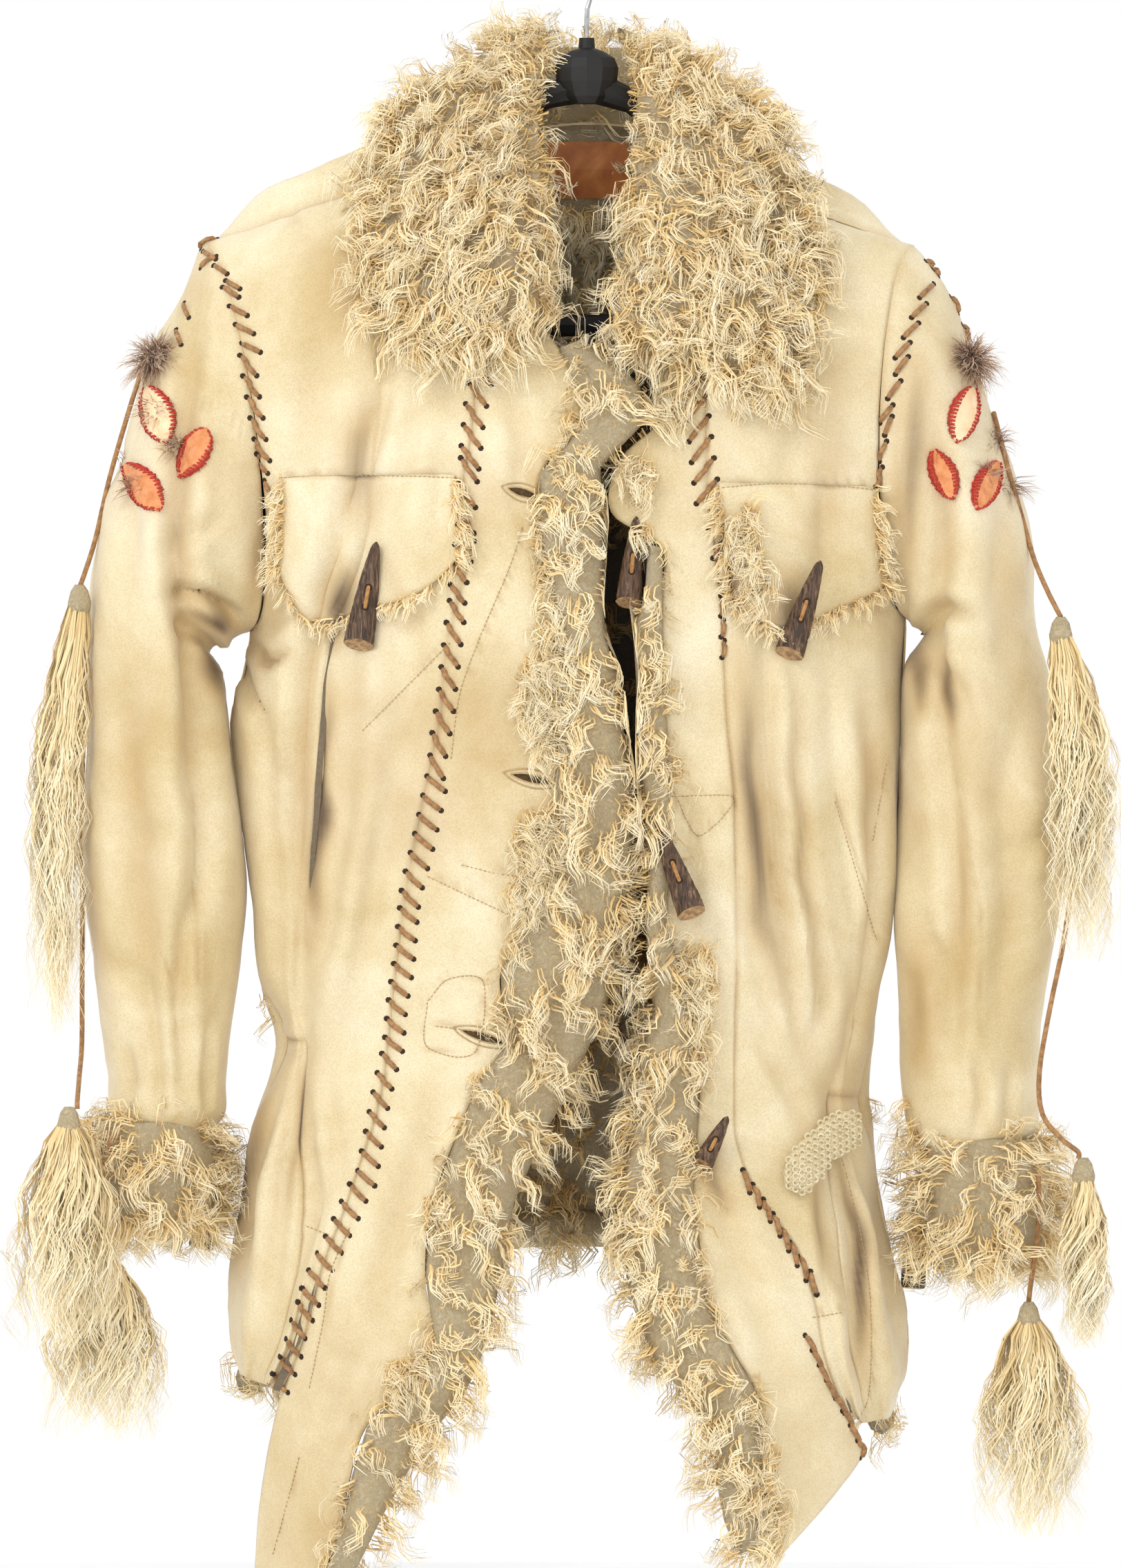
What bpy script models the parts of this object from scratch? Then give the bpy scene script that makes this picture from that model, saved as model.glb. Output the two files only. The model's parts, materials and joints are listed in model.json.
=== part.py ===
# Lambskin coat hanging on a coat hanger
# Lengths in the tables are plan units, read off the front view; UNIT turns them into metres.
# The origin is the inside of the hook's top. X is to the viewer's right, Z up, and the front faces -Y.
# Left and right mean the viewer's left and right.

import math
import random

import bpy
import numpy as np
from mathutils import Vector
from mathutils.bvhtree import BVHTree

UNIT = 0.00046
MID_X = 853.0
TOP_Z = -106.0
WALL = 0.0028
SEAM = 0.00022

# Armhole and sleeve rings: outer x, outer z, inner x, inner z, half depth in mm, bulge to the body
RINGS_L = [
    (292, 350, 362, 915, 58, 48),
    (259, 440, 347, 918, 66, 34),
    (215, 520, 336, 922, 70, 20),
    (180, 640, 327, 927, 70, 8),
    (150, 740, 319, 933, 69, 2),
    (128, 845, 313, 942, 67, 0),
    (128, 960, 306, 1000, 65, 0),
    (129, 1088, 308, 1090, 62, 0),
    (122, 1192, 322, 1190, 60, 0),
    (125, 1290, 335, 1290, 58, 0),
    (143, 1400, 340, 1400, 54, 0),
    (150, 1480, 337, 1480, 51, 0),
    (158, 1560, 330, 1560, 48, 0),
    (160, 1610, 328, 1610, 47, 0),
]
RINGS_R = [
    (1325, 354, 1312, 895, 58, -48),
    (1375, 425, 1325, 899, 64, -34),
    (1412, 518, 1332, 904, 66, -20),
    (1438, 610, 1337, 910, 66, -8),
    (1468, 690, 1340, 916, 66, -2),
    (1490, 793, 1340, 926, 66, 0),
    (1498, 907, 1338, 985, 64, 0),
    (1522, 1000, 1334, 1060, 62, 0),
    (1545, 1130, 1332, 1160, 60, 0),
    (1547, 1218, 1322, 1250, 58, 0),
    (1537, 1306, 1313, 1330, 55, 0),
    (1521, 1399, 1309, 1425, 52, 0),
    (1508, 1480, 1308, 1500, 50, 0),
    (1502, 1560, 1310, 1575, 48, 0),
    (1501, 1632, 1318, 1640, 47, 0),
]

# Front rows from shoulder to hem: side edge, main fold, laced seam, front edge of the hide, edge of the fleece.
# The first ten side edges come from the armhole ring. No side edge means that only the tail goes on.
ROWS_L = [
    (None, (470, 290), (640, 258), (668, 285), (690, 280)),
    (None, (485, 330), (655, 300), (705, 335), (730, 328)),
    (None, (505, 385), (672, 352), (742, 400), (765, 390)),
    (None, (530, 445), (684, 415), (775, 458), (800, 446)),
    (None, (552, 515), (690, 490), (812, 512), (842, 500)),
    (None, (560, 580), (690, 565), (842, 572), (922, 563)),
    (None, (552, 650), (684, 640), (843, 625), (932, 612)),
    (None, (542, 715), (672, 712), (782, 692), (866, 680)),
    (None, (532, 790), (682, 790), (782, 790), (868, 790)),
    (None, (508, 865), (667, 860), (800, 860), (869, 860)),
    ((362, 915), (488, 930), (652, 925), (818, 925), (872, 925)),
    ((350, 975), (478, 985), (645, 985), (818, 985), (892, 985)),
    ((332, 1047), (473, 1047), (638, 1047), (806, 1047), (897, 1047)),
    ((343, 1156), (466, 1156), (615, 1156), (803, 1156), (915, 1156)),
    ((356, 1259), (456, 1259), (596, 1259), (812, 1259), (912, 1259)),
    ((366, 1321), (448, 1321), (587, 1321), (775, 1325), (893, 1325)),
    ((372, 1399), (440, 1399), (577, 1399), (728, 1399), (890, 1399)),
    ((391, 1451), (438, 1451), (571, 1451), (728, 1451), (875, 1451)),
    ((414, 1506), (446, 1508), (565, 1508), (733, 1512), (848, 1512)),
    ((398, 1560), (440, 1560), (558, 1560), (697, 1560), (822, 1565)),
    ((366, 1633), (440, 1635), (540, 1635), (665, 1633), (786, 1633)),
    ((350, 1733), (445, 1735), (507, 1735), (628, 1733), (742, 1733)),
    ((330, 1840), (432, 1842), (466, 1842), (618, 1840), (725, 1840)),
    ((330, 1940), (408, 1935), (440, 1938), (632, 1940), (700, 1945)),
    ((346, 1990), (382, 2000), (410, 2008), (590, 2000), (672, 2008)),
    (None, None, (394, 2065), (532, 2060), (625, 2062)),
    (None, None, (384, 2130), (512, 2125), (590, 2122)),
    (None, None, (375, 2200), (496, 2195), (553, 2185)),
    (None, None, (369, 2288), (470, 2282), (505, 2282)),
]
ROWS_R = [
    (None, (1150, 306), (1066, 270), (1040, 292), (1018, 285)),
    (None, (1160, 340), (1050, 308), (1003, 338), (980, 330)),
    (None, (1172, 392), (1035, 356), (975, 402), (950, 392)),
    (None, (1182, 450), (1025, 417), (956, 462), (930, 450)),
    (None, (1190, 520), (1018, 490), (948, 538), (925, 530)),
    (None, (1190, 590), (1018, 565), (957, 608), (930, 600)),
    (None, (1188, 655), (1022, 640), (899, 668), (880, 668)),
    (None, (1185, 720), (1024, 712), (884, 745), (870, 745)),
    (None, (1183, 795), (1034, 790), (957, 797), (940, 797)),
    (None, (1187, 865), (1042, 860), (957, 860), (937, 860)),
    ((1312, 895), (1193, 925), (1046, 925), (957, 925), (920, 925)),
    ((1304, 985), (1198, 987), (1048, 990), (959, 987), (924, 985)),
    ((1301, 1060), (1203, 1060), (1052, 1060), (963, 1060), (925, 1060)),
    ((1298, 1160), (1212, 1160), (1061, 1160), (967, 1160), (933, 1160)),
    ((1291, 1265), (1230, 1265), (1065, 1265), (966, 1265), (940, 1265)),
    ((1283, 1345), (1236, 1345), (1066, 1345), (962, 1345), (938, 1345)),
    ((1273, 1425), (1230, 1422), (1065, 1420), (985, 1402), (942, 1400)),
    ((1262, 1495), (1222, 1490), (1063, 1480), (1000, 1460), (950, 1460)),
    ((1246, 1589), (1198, 1585), (1062, 1575), (1012, 1560), (928, 1560)),
    ((1258, 1645), (1200, 1650), (1066, 1650), (1008, 1640), (915, 1640)),
    ((1276, 1725), (1204, 1728), (1095, 1725), (1002, 1720), (900, 1720)),
    ((1292, 1810), (1211, 1810), (1150, 1800), (1012, 1800), (903, 1800)),
    ((1314, 1900), (1224, 1895), (1178, 1880), (1025, 1880), (920, 1885)),
    ((1314, 1985), (1238, 1975), (1192, 1960), (1060, 1950), (948, 1955)),
    ((1292, 2052), (1254, 2056), (1222, 2040), (1095, 2010), (1000, 2020)),
    (None, None, (1250, 2094), (1100, 2080), (1036, 2075)),
    (None, None, (1215, 2150), (1105, 2130), (1038, 2130)),
    (None, None, (1168, 2200), (1104, 2180), (1050, 2190)),
    (None, None, (1128, 2243), (1098, 2222), (1068, 2236)),
]
WAIST = 18
SKIRT_END = 24
ARMPIT = 10

# Depth of each row in mm at the middle: front, then back, and height of the back's middle
FRONT_DEPTH = [22, 34, 50, 64, 76, 85, 91, 95, 97, 98, 98, 96, 94, 90, 86, 83, 80, 78, 78, 84, 92, 99,
               104, 108, 110, 112, 114, 116, 118]
BACK_DEPTH = [46, 56, 62, 68, 74, 79, 83, 86, 87, 87, 86, 85, 83, 80, 77, 75, 73, 72, 72, 77, 84, 91,
              97, 102, 106]
BACK_MIDDLE = [170, 196, 232, 280, 338, 408, 492, 582, 680, 780, 880, 950, 1020, 1110, 1200, 1280,
               1350, 1410, 1465, 1510, 1560, 1612, 1662, 1710, 1755]
# Depth in mm of the main fold along each row
FOLD_L = [0, 0, 0, 0, 3, 6, 9, 10, 11, 12, 12, 12, 12, 12, 12, 11, 10, 9, 7, 7, 8, 8, 7, 4, 0]
FOLD_R = [0, 0, 0, 0, 0, 0, 1, 2, 3, 4, 4, 5, 5, 5, 5, 6, 6, 7, 8, 9, 10, 10, 9, 7, 4]

# Shoulder seam, and the ridge behind it: x, seam z, ridge z
SHOULDER_L = [(292, 350, 350), (321, 345, 306), (362, 331, 270), (445, 302, 241), (554, 268, 203),
              (640, 258, 184)]
SHOULDER_R = [(1066, 270, 212), (1133, 296, 240), (1175, 308, 250), (1257, 335, 285),
              (1300, 352, 318), (1325, 354, 354)]


def at(x, z, depth):
    """Plan x and z with a depth in mm, as metres."""
    return np.array(((x - MID_X) * UNIT, depth / 1000.0, -(z - TOP_Z) * UNIT))


def mix(a, b, t):
    return a + (b - a) * t


def table(rows, x, column=1):
    return float(np.interp(x, [r[0] for r in rows], [r[column] for r in rows]))


def ring_point(ring, angle):
    """A point on an armhole or sleeve ring: angle 0 on top, pi underneath, negative behind."""
    ox, oz, ix, iz, depth, bulge = ring
    share = (1.0 - math.cos(angle)) / 2.0
    side = math.sin(abs(angle))
    x = mix(ox, ix, share) + bulge * side
    z = mix(oz, iz, share)
    return at(x, z, -depth * math.sin(angle))


def across(t, power):
    """Rise of a panel from its outer edge to the middle."""
    t = min(max(t, 0.0), 1.0)
    return (1.0 - (1.0 - t) ** 2.3) ** power


def edge_power(row):
    """Round at a side seam, flatter at an armhole."""
    return float(np.interp(row, [0, 4, 9, 10], [1.0, 0.95, 0.62, 0.5]))


def front_columns(side, main, laced, edge):
    """Plan points of one row of a front, from the side to its front edge, and their kind."""
    side = np.array(side, float)
    main = np.array(main, float)
    laced = np.array(laced, float)
    edge = np.array(edge, float)
    near = min(0.42, 22.0 / max(abs(main[0] - side[0]), 1.0))
    far = min(0.30, 22.0 / max(abs(laced[0] - main[0]), 1.0))
    points = [side, mix(side, main, 0.36 * (1 - near) + 0.05), mix(side, main, 1 - near), main,
              mix(main, laced, far), mix(main, laced, mix(far, 1, 0.35)),
              mix(main, laced, mix(far, 1, 0.68)), laced,
              mix(laced, edge, 0.33), mix(laced, edge, 0.67), edge]
    return points


def front_grid(rows, rings, folds, shoulder, sign):
    """Rows of points of one front, with None where only the tail goes on."""
    grid = []
    for i, (side, main, laced, edge, _) in enumerate(rows):
        if i <= ARMPIT:
            p = ring_point(rings[0], math.pi * i / ARMPIT)
            side = (p[0] / UNIT + MID_X, -p[2] / UNIT + TOP_Z)
            start = p[1] * 1000.0
        else:
            start = 0.0
        tail = i > SKIRT_END
        if tail:
            last = rows[SKIRT_END]
            side = (last[0][0], laced[1])
            main = ((side[0] + laced[0]) / 2.0, laced[1])
        columns = front_columns(side, main, laced, edge)
        row = []
        for j, (x, z) in enumerate(columns):
            if tail and j < 7:
                row.append(None)
                continue
            if 0 < j < 7 and i < 5 and not tail:
                line = mix(columns[0][1], columns[7][1], (x - columns[0][0]) / (columns[7][0] - columns[0][0]))
                flat = mix(rings[0][1], rows[0][2][1], (x - columns[0][0]) / (columns[7][0] - columns[0][0]))
                z = line + (table(shoulder, x) - flat) * (1.0 - i / 5.0)
            share = (x - side[0]) / (MID_X - side[0])
            depth = start + (-FRONT_DEPTH[i] - start) * across(share, edge_power(i))
            if i <= SKIRT_END:
                fold = folds[i]
                drop = {2: 0.25, 3: 1.0, 4: 0.15, 5: -0.28, 6: 0.12}.get(j, 0.0)
                depth += fold * drop
                flare = max(0.0, (i - WAIST) / 6.0)
                depth += flare * {1: -5.0, 2: 5.0, 4: -4.0, 5: 3.0, 6: -2.0}.get(j, 0.0)
                pinch = max(0.0, 1.0 - abs(i - WAIST) / 1.5)
                depth += pinch * {1: 2.0, 2: -2.0, 4: -2.5, 5: 2.0, 6: -1.5}.get(j, 0.0)
            row.append(at(x, z, depth))
        grid.append(row)
    return grid


def back_grid(front_l, front_r):
    """Rows of points of the back, from the left side seam to the right one."""
    grid = []
    top_x = [p[0] for p in front_l[0][:8]]
    neck = [(700, 205, 32), (760, 182, 40), (815, 172, 45), (853, 170, 46), (891, 172, 45),
            (946, 184, 40), (1006, 212, 32)]
    count = 8 + len(neck) + 8
    top_x = ([p[0] / UNIT + MID_X for p in front_l[0][:8]] + [n[0] for n in neck]
             + [p[0] / UNIT + MID_X for p in reversed(front_r[0][:8])])
    for i in range(SKIRT_END + 1):
        if i <= ARMPIT:
            left = ring_point(RINGS_L[0], -math.pi * i / ARMPIT)
            right = ring_point(RINGS_R[0], -math.pi * i / ARMPIT)
        else:
            left = front_l[i][0]
            right = front_r[i][0]
        lx, lz, ly = left[0] / UNIT + MID_X, -left[2] / UNIT + TOP_Z, left[1] * 1000
        rx, rz, ry = right[0] / UNIT + MID_X, -right[2] / UNIT + TOP_Z, right[1] * 1000
        row = []
        for j in range(count):
            f_top = (top_x[j] - top_x[0]) / (top_x[-1] - top_x[0])
            f_even = 0.5 - 0.5 * math.cos(math.pi * (0.04 + 0.92 * j / (count - 1)))
            f_even = (f_even - 0.003943) / (1 - 2 * 0.003943)
            f_even = min(max(f_even, 0.0), 1.0)
            f = mix(f_top, f_even, min(1.0, i / 9.0))
            x = mix(lx, rx, f)
            if j == 0:
                row.append(left)
                continue
            if j == count - 1:
                row.append(right)
                continue
            if i == 0:
                if j < 8:
                    row.append(front_l[0][j])
                elif j >= count - 8:
                    row.append(front_r[0][count - 1 - j])
                else:
                    nx, nz, ny = neck[j - 8]
                    row.append(at(nx, nz, ny))
                continue
            edge_y = mix(ly, ry, f)
            t = 2.0 * min(f, 1.0 - f)
            rise = across(min(1.0, t * 1.25), edge_power(i))
            ease = mix(1.0, [0, 0.0, 0.45, 0.72, 0.88, 0.96, 1][min(i, 6)], min(1.0, t * 4.0))
            depth = mix(edge_y, BACK_DEPTH[i], rise)
            ridge = ridge_z(x)
            low_edge = mix(RINGS_L[0][3], RINGS_R[0][3], f)
            middle = BACK_MIDDLE[i]
            bow = (4.0 * f * (1.0 - f)) ** 0.8
            if i <= ARMPIT:
                s_edge = (1.0 - math.cos(math.pi * i / ARMPIT)) / 2.0
                s_in = [0, 0.0, 0.035, 0.10, 0.19, 0.30, 0.44, 0.58, 0.72, 0.86, 1.0][i]
                s = mix(s_edge, s_in, min(1.0, t * 2.2))
                low = mix(low_edge, BACK_MIDDLE[ARMPIT], bow)
                z = ridge + (low - ridge) * s
                if i == 1 and 8 <= j < count - 8:
                    z = neck[j - 8][1] + 16
                depth_top = 4.0 if not (8 <= j < count - 8) else neck[j - 8][2] + 10
                depth = mix(depth_top, depth, ease)
            else:
                z = mix(mix(lz, rz, f), middle, bow)
            flare = max(0.0, (i - WAIST) / 6.0)
            depth += flare * 7.0 * math.cos(j * math.pi * 0.5)
            pinch = max(0.0, 1.0 - abs(i - WAIST) / 1.5)
            depth += pinch * 2.5 * math.cos(j * math.pi)
            spread = math.exp(-((i - WAIST) / 1.8) ** 2) * math.exp(-((t - 0.08) / 0.10) ** 2)
            x += spread * (-34.0 if f < 0.5 else 34.0)
            row.append(at(x, z, depth))
        grid.append(row)
    return grid


def ridge_z(x):
    """Height of the shoulder ridge and the back neckline over x."""
    if x <= 640:
        return table(SHOULDER_L, x, 2)
    if x >= 1066:
        return table(SHOULDER_R, x, 2)
    return float(np.interp(x, [640, 700, 760, 853, 946, 1006, 1066], [184, 240, 228, 218, 230, 248, 212]))


# Shell: every hide panel is cut from one sheet of cells, so neighbours share their seam points
class Shell:
    def __init__(self):
        self.points = []
        self.cells = []

    def add(self, p):
        self.points.append(np.array(p, float))
        return len(self.points) - 1

    def cell(self, a, b, c, d, label):
        self.cells.append((a, b, c, d, label))

    def normals(self):
        total = np.zeros((len(self.points), 3))
        for a, b, c, d, _ in self.cells:
            n = np.cross(self.points[c] - self.points[a], self.points[d] - self.points[b])
            for v in (a, b, c, d):
                total[v] += n
        size = np.linalg.norm(total, axis=1)
        size[size == 0] = 1
        return total / size[:, None]


def make_shell():
    shell = Shell()
    left = front_grid(ROWS_L, RINGS_L, FOLD_L, SHOULDER_L, 1)
    right = front_grid(ROWS_R, RINGS_R, FOLD_R, SHOULDER_R, -1)
    back = back_grid(left, right)
    index_l = [[None if p is None else shell.add(p) for p in row] for row in left]
    index_r = [[None if p is None else shell.add(p) for p in row] for row in right]
    count = len(back[0])
    index_b = []
    for i, row in enumerate(back):
        out = []
        for j, p in enumerate(row):
            if i == 0 and j < 8:
                out.append(index_l[0][j])
            elif i == 0 and j >= count - 8:
                out.append(index_r[0][count - 1 - j])
            elif i >= ARMPIT and j == 0:
                out.append(index_l[i][0])
            elif i >= ARMPIT and j == count - 1:
                out.append(index_r[i][0])
            else:
                out.append(shell.add(p))
        index_b.append(out)

    def front(index, name, flip):
        for i in range(len(index) - 1):
            for j in range(10):
                ids = (index[i][j], index[i][j + 1], index[i + 1][j + 1], index[i + 1][j])
                if None in ids:
                    continue
                if j >= 7:
                    label = "centre_front_" + name
                elif i >= WAIST and j < 3:
                    label = "peplum_" + name
                else:
                    label = "side_front_" + name
                a, b, c, d = ids
                if flip:
                    shell.cell(a, b, c, d, label)
                else:
                    shell.cell(a, d, c, b, label)

    front(index_l, "left", False)
    front(index_r, "right", True)
    for i in range(SKIRT_END):
        for j in range(count - 1):
            if i == 0 and j in (7, count - 9):
                continue
            a, b, c, d = (index_b[i][j], index_b[i][j + 1], index_b[i + 1][j + 1], index_b[i + 1][j])
            shell.cell(a, b, c, d, "back")

    def sleeve(rings, front_index, back_column, name, flip):
        first = [front_index[i][0] for i in range(ARMPIT + 1)]
        first += [index_b[i][back_column] for i in range(ARMPIT - 1, 0, -1)]
        loops = [first]
        steps = 2 * ARMPIT
        for ring in rings[1:]:
            loop = []
            for k in range(steps):
                angle = math.pi * k / ARMPIT
                if angle > math.pi:
                    angle -= 2 * math.pi
                loop.append(shell.add(ring_point(ring, angle)))
            loops.append(loop)
        for i in range(len(loops) - 1):
            for k in range(steps):
                a, b = loops[i][k], loops[i][(k + 1) % steps]
                c, d = loops[i + 1][(k + 1) % steps], loops[i + 1][k]
                if flip:
                    shell.cell(a, b, c, d, "sleeve_" + name)
                else:
                    shell.cell(a, d, c, b, "sleeve_" + name)
        return loops

    loops_l = sleeve(RINGS_L, index_l, 0, "left", False)
    loops_r = sleeve(RINGS_R, index_r, count - 1, "right", True)
    return shell, index_l, index_r, index_b, loops_l, loops_r


# Blender helpers
for old in list(bpy.data.objects):
    bpy.data.objects.remove(old, do_unlink=True)

COLLECTION = bpy.data.collections.new("coat")
bpy.context.scene.collection.children.link(COLLECTION)
COLOURS = {
    "hide": (0.86, 0.77, 0.58), "fleece": (0.83, 0.72, 0.50), "horn": (0.06, 0.04, 0.03),
    "thong": (0.42, 0.24, 0.10), "suede": (0.72, 0.34, 0.16), "puff": (0.27, 0.16, 0.11),
    "label": (0.35, 0.12, 0.03), "plastic": (0.02, 0.02, 0.02), "wire": (0.55, 0.55, 0.56),
    "knit": (0.85, 0.77, 0.58),
}
# Plan points where seams meet
PARED = [(362, 915), (1312, 895), (292, 350), (1325, 354), (398, 2004), (1240, 2040)]
COVER_POINTS = []
COVER_FACES = []


def material(slot, name):
    m = bpy.data.materials.new(name)
    m.use_nodes = True
    shader = m.node_tree.nodes["Principled BSDF"]
    shader.inputs["Base Color"].default_value = (*COLOURS[slot], 1.0)
    shader.inputs["Roughness"].default_value = 0.8
    return m


def make(name, points, faces, slot, smooth=True):
    """A closed mesh object from points and faces."""
    mesh = bpy.data.meshes.new(name)
    mesh.from_pydata([tuple(float(c) for c in p) for p in points], [], [tuple(f) for f in faces])
    mesh.validate()
    mesh.update()
    obj = bpy.data.objects.new(name, mesh)
    COLLECTION.objects.link(obj)
    volume = sum(
        Vector(mesh.vertices[t.vertices[0]].co).dot(
            Vector(mesh.vertices[t.vertices[1]].co).cross(Vector(mesh.vertices[t.vertices[2]].co)))
        for t in triangles(mesh))
    if volume < 0:
        mesh.flip_normals()
    mesh.materials.append(material(slot, name))
    return obj


def triangles(mesh):
    mesh.calc_loop_triangles()
    return mesh.loop_triangles


def cover(points, faces):
    """Adds a surface to what later pieces lie on."""
    start = len(COVER_POINTS)
    COVER_POINTS.extend(tuple(float(c) for c in p) for p in points)
    COVER_FACES.extend(tuple(v + start for v in f) for f in faces)


def tree():
    return BVHTree.FromPolygons(COVER_POINTS, COVER_FACES)


def cast(bvh, x, z):
    """Depth in metres and normal of the foremost surface at a plan point."""
    p = at(x, z, -600)
    hit, normal, _, _ = bvh.ray_cast(Vector(p), Vector((0, 1, 0)))
    if hit is None:
        return None, None
    if normal.y > 0:
        normal = -normal
    return hit, normal


def cast_near(bvh, x, z):
    """As cast, but moved towards the middle until there is cloth."""
    for step in range(20):
        hit, normal = cast(bvh, x + math.copysign(4 * step, MID_X - x), z)
        if hit is not None:
            return hit, normal
    raise ValueError("no cloth near %g %g" % (x, z))


def thinning(p):
    """The hide is pared where many seams meet, under the arms and at the shoulder points."""
    near = min(np.linalg.norm(p - at(x, z, 0)) for x, z in PARED)
    return 1.0 - 0.6 * math.exp(-(near / 0.018) ** 2)


def panel(shell, normals, label, wall):
    """A solid hide panel from the cells with this label, drawn in a little at its seams."""
    cells = [c[:4] for c in shell.cells if c[4] == label]
    used = {}
    for c in cells:
        for v in c:
            used.setdefault(v, len(used))
    edges = {}
    for c in cells:
        for k in range(4):
            edges[(c[k], c[(k + 1) % 4])] = c
    border = [e for e in edges if (e[1], e[0]) not in edges]
    inward = {}
    for a, b in border:
        run = shell.points[b] - shell.points[a]
        size = np.linalg.norm(run)
        if size < 1e-9:
            continue
        n = (normals[a] + normals[b]) / 2.0
        side = np.cross(n, run / size)
        side /= max(np.linalg.norm(side), 1e-9)
        for v in (a, b):
            inward.setdefault(v, []).append(side)
    outer = []
    inner = []
    for v in used:
        p = shell.points[v].copy()
        if v in inward:
            s = sum(inward[v])
            size = np.linalg.norm(s)
            if size > 0.3:
                half = size / len(inward[v])
                p = p + s / size * SEAM * (6.0 - 5.0 * thinning(p)) / max(half, 0.5)
        outer.append(p)
        inner.append(p - normals[v] * wall * thinning(shell.points[v]))
    n = len(outer)
    faces = []
    for c in cells:
        ids = [used[v] for v in c]
        faces.append(ids)
        faces.append([v + n for v in reversed(ids)])
    for a, b in border:
        ia, ib = used[a], used[b]
        faces.append([ib, ia, ia + n, ib + n])
    make(label, outer + inner, faces, "hide")
    cover(outer, [[used[v] for v in c] for c in cells])


def loft(name, loops, slot, closed=False, covered=False):
    """A solid through loops of equal count, capped at both ends or joined into a ring."""
    count = len(loops[0])
    points = [p for loop in loops for p in loop]
    faces = []
    spans = len(loops) if closed else len(loops) - 1
    for i in range(spans):
        a = i * count
        b = ((i + 1) % len(loops)) * count
        for k in range(count):
            m = (k + 1) % count
            faces.append([a + k, a + m, b + m, b + k])
    if not closed:
        for base, flip in ((0, True), ((len(loops) - 1) * count, False)):
            points.append(sum(np.array(p) for p in points[base:base + count]) / count)
            c = len(points) - 1
            for k in range(count):
                m = (k + 1) % count
                faces.append([base + m, base + k, c] if flip else [base + k, base + m, c])
    if covered:
        cover(points, faces)
    return make(name, points, faces, slot)


def tube(name, path, radius, slot, sides=6):
    """A round solid along a path of points in metres."""
    path = [np.array(p, float) for p in path]
    loops = []
    up = None
    for i, p in enumerate(path):
        a = path[max(i - 1, 0)]
        b = path[min(i + 1, len(path) - 1)]
        run = (b - a) / np.linalg.norm(b - a)
        if up is None:
            up = np.cross(run, (0.0, 1.0, 0.0))
            if np.linalg.norm(up) < 0.1:
                up = np.cross(run, (1.0, 0.0, 0.0))
        up = up - run * np.dot(up, run)
        up /= np.linalg.norm(up)
        side = np.cross(run, up)
        r = radius[i] if isinstance(radius, (list, tuple)) else radius
        loops.append([p + r * (up * math.cos(t) + side * math.sin(t))
                      for t in (2 * math.pi * k / sides for k in range(sides))])
    return loft(name, loops, slot)


def boolean(target, cutters, operation):
    """Joins or cuts closed solids and keeps the result as a plain mesh."""
    for cutter in cutters:
        step = target.modifiers.new("step", "BOOLEAN")
        step.operation = operation
        step.solver = "EXACT"
        step.object = cutter
        graph = bpy.context.evaluated_depsgraph_get()
        mesh = bpy.data.meshes.new_from_object(target.evaluated_get(graph))
        target.modifiers.clear()
        old = target.data
        name = old.name
        target.data = mesh
        bpy.data.meshes.remove(old)
        mesh.name = name
        bpy.data.objects.remove(cutter, do_unlink=True)
    return target


# Hide panels
SHELL, INDEX_L, INDEX_R, INDEX_B, LOOPS_L, LOOPS_R = make_shell()
NORMALS = SHELL.normals()
for panel_name in ("back", "side_front_left", "side_front_right", "centre_front_left",
                   "centre_front_right", "peplum_left", "peplum_right", "sleeve_left",
                   "sleeve_right"):
    panel(SHELL, NORMALS, panel_name, WALL)


# Fleece edges of the two fronts
def fleece_edge(name, rows, index, first, thick):
    loops = []
    for i in range(first, len(rows)):
        hide = SHELL.points[index[i][10]]
        edge = at(rows[i][4][0], rows[i][4][1], 0)
        edge[1] = hide[1] + 0.002
        run = edge - hide
        run[1] = 0
        size = np.linalg.norm(run)
        run /= size
        lean = max(0.0, -float(np.dot(NORMALS[index[i][10]], run)))
        gap = 0.0008 + lean * WALL * 1.3
        start = hide + run * gap
        half = (size - gap) / 2.0
        centre = start + run * half
        centre[1] = hide[1] + 0.001
        body = thick * (1.0 if i > first else 0.7)
        loop = []
        for k in range(10):
            t = 2 * math.pi * k / 10
            c = math.copysign(abs(math.cos(t)) ** 0.8, math.cos(t))
            s = math.copysign(abs(math.sin(t)) ** 0.8, math.sin(t))
            loop.append(centre + run * half * c + np.array((0.0, body * s, 0.0)))
        loops.append(loop)
    loft(name, loops, "fleece", covered=True)


fleece_edge("fleece_edge_left", ROWS_L, INDEX_L, 4, 0.013)
fleece_edge("fleece_edge_right", ROWS_R, INDEX_R, 8, 0.012)


# Fleece along the back hem
def hem_fleece():
    loops = []
    row = INDEX_B[SKIRT_END]
    for j in range(len(row)):
        p = SHELL.points[row[j]]
        n = NORMALS[row[j]].copy()
        n[2] = 0
        n /= np.linalg.norm(n)
        thick = 0.011
        centre = p - n * 0.001 + np.array((0, 0, -0.0135))
        loops.append([centre + n * thick * math.cos(t) + np.array((0, 0, 0.0125 * math.sin(t)))
                      for t in (2 * math.pi * k / 8 for k in range(8))])
    loft("fleece_hem_back", loops[1:-1], "fleece")


hem_fleece()

# Cuffs: top z, bottom z, left x, right x, and half depths of the outside and the hollow in mm
CUFFS = {"left": (1614, 1790, 113, 328, 60, 33), "right": (1640, 1843, 1313, 1540, 60, 33)}


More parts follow.
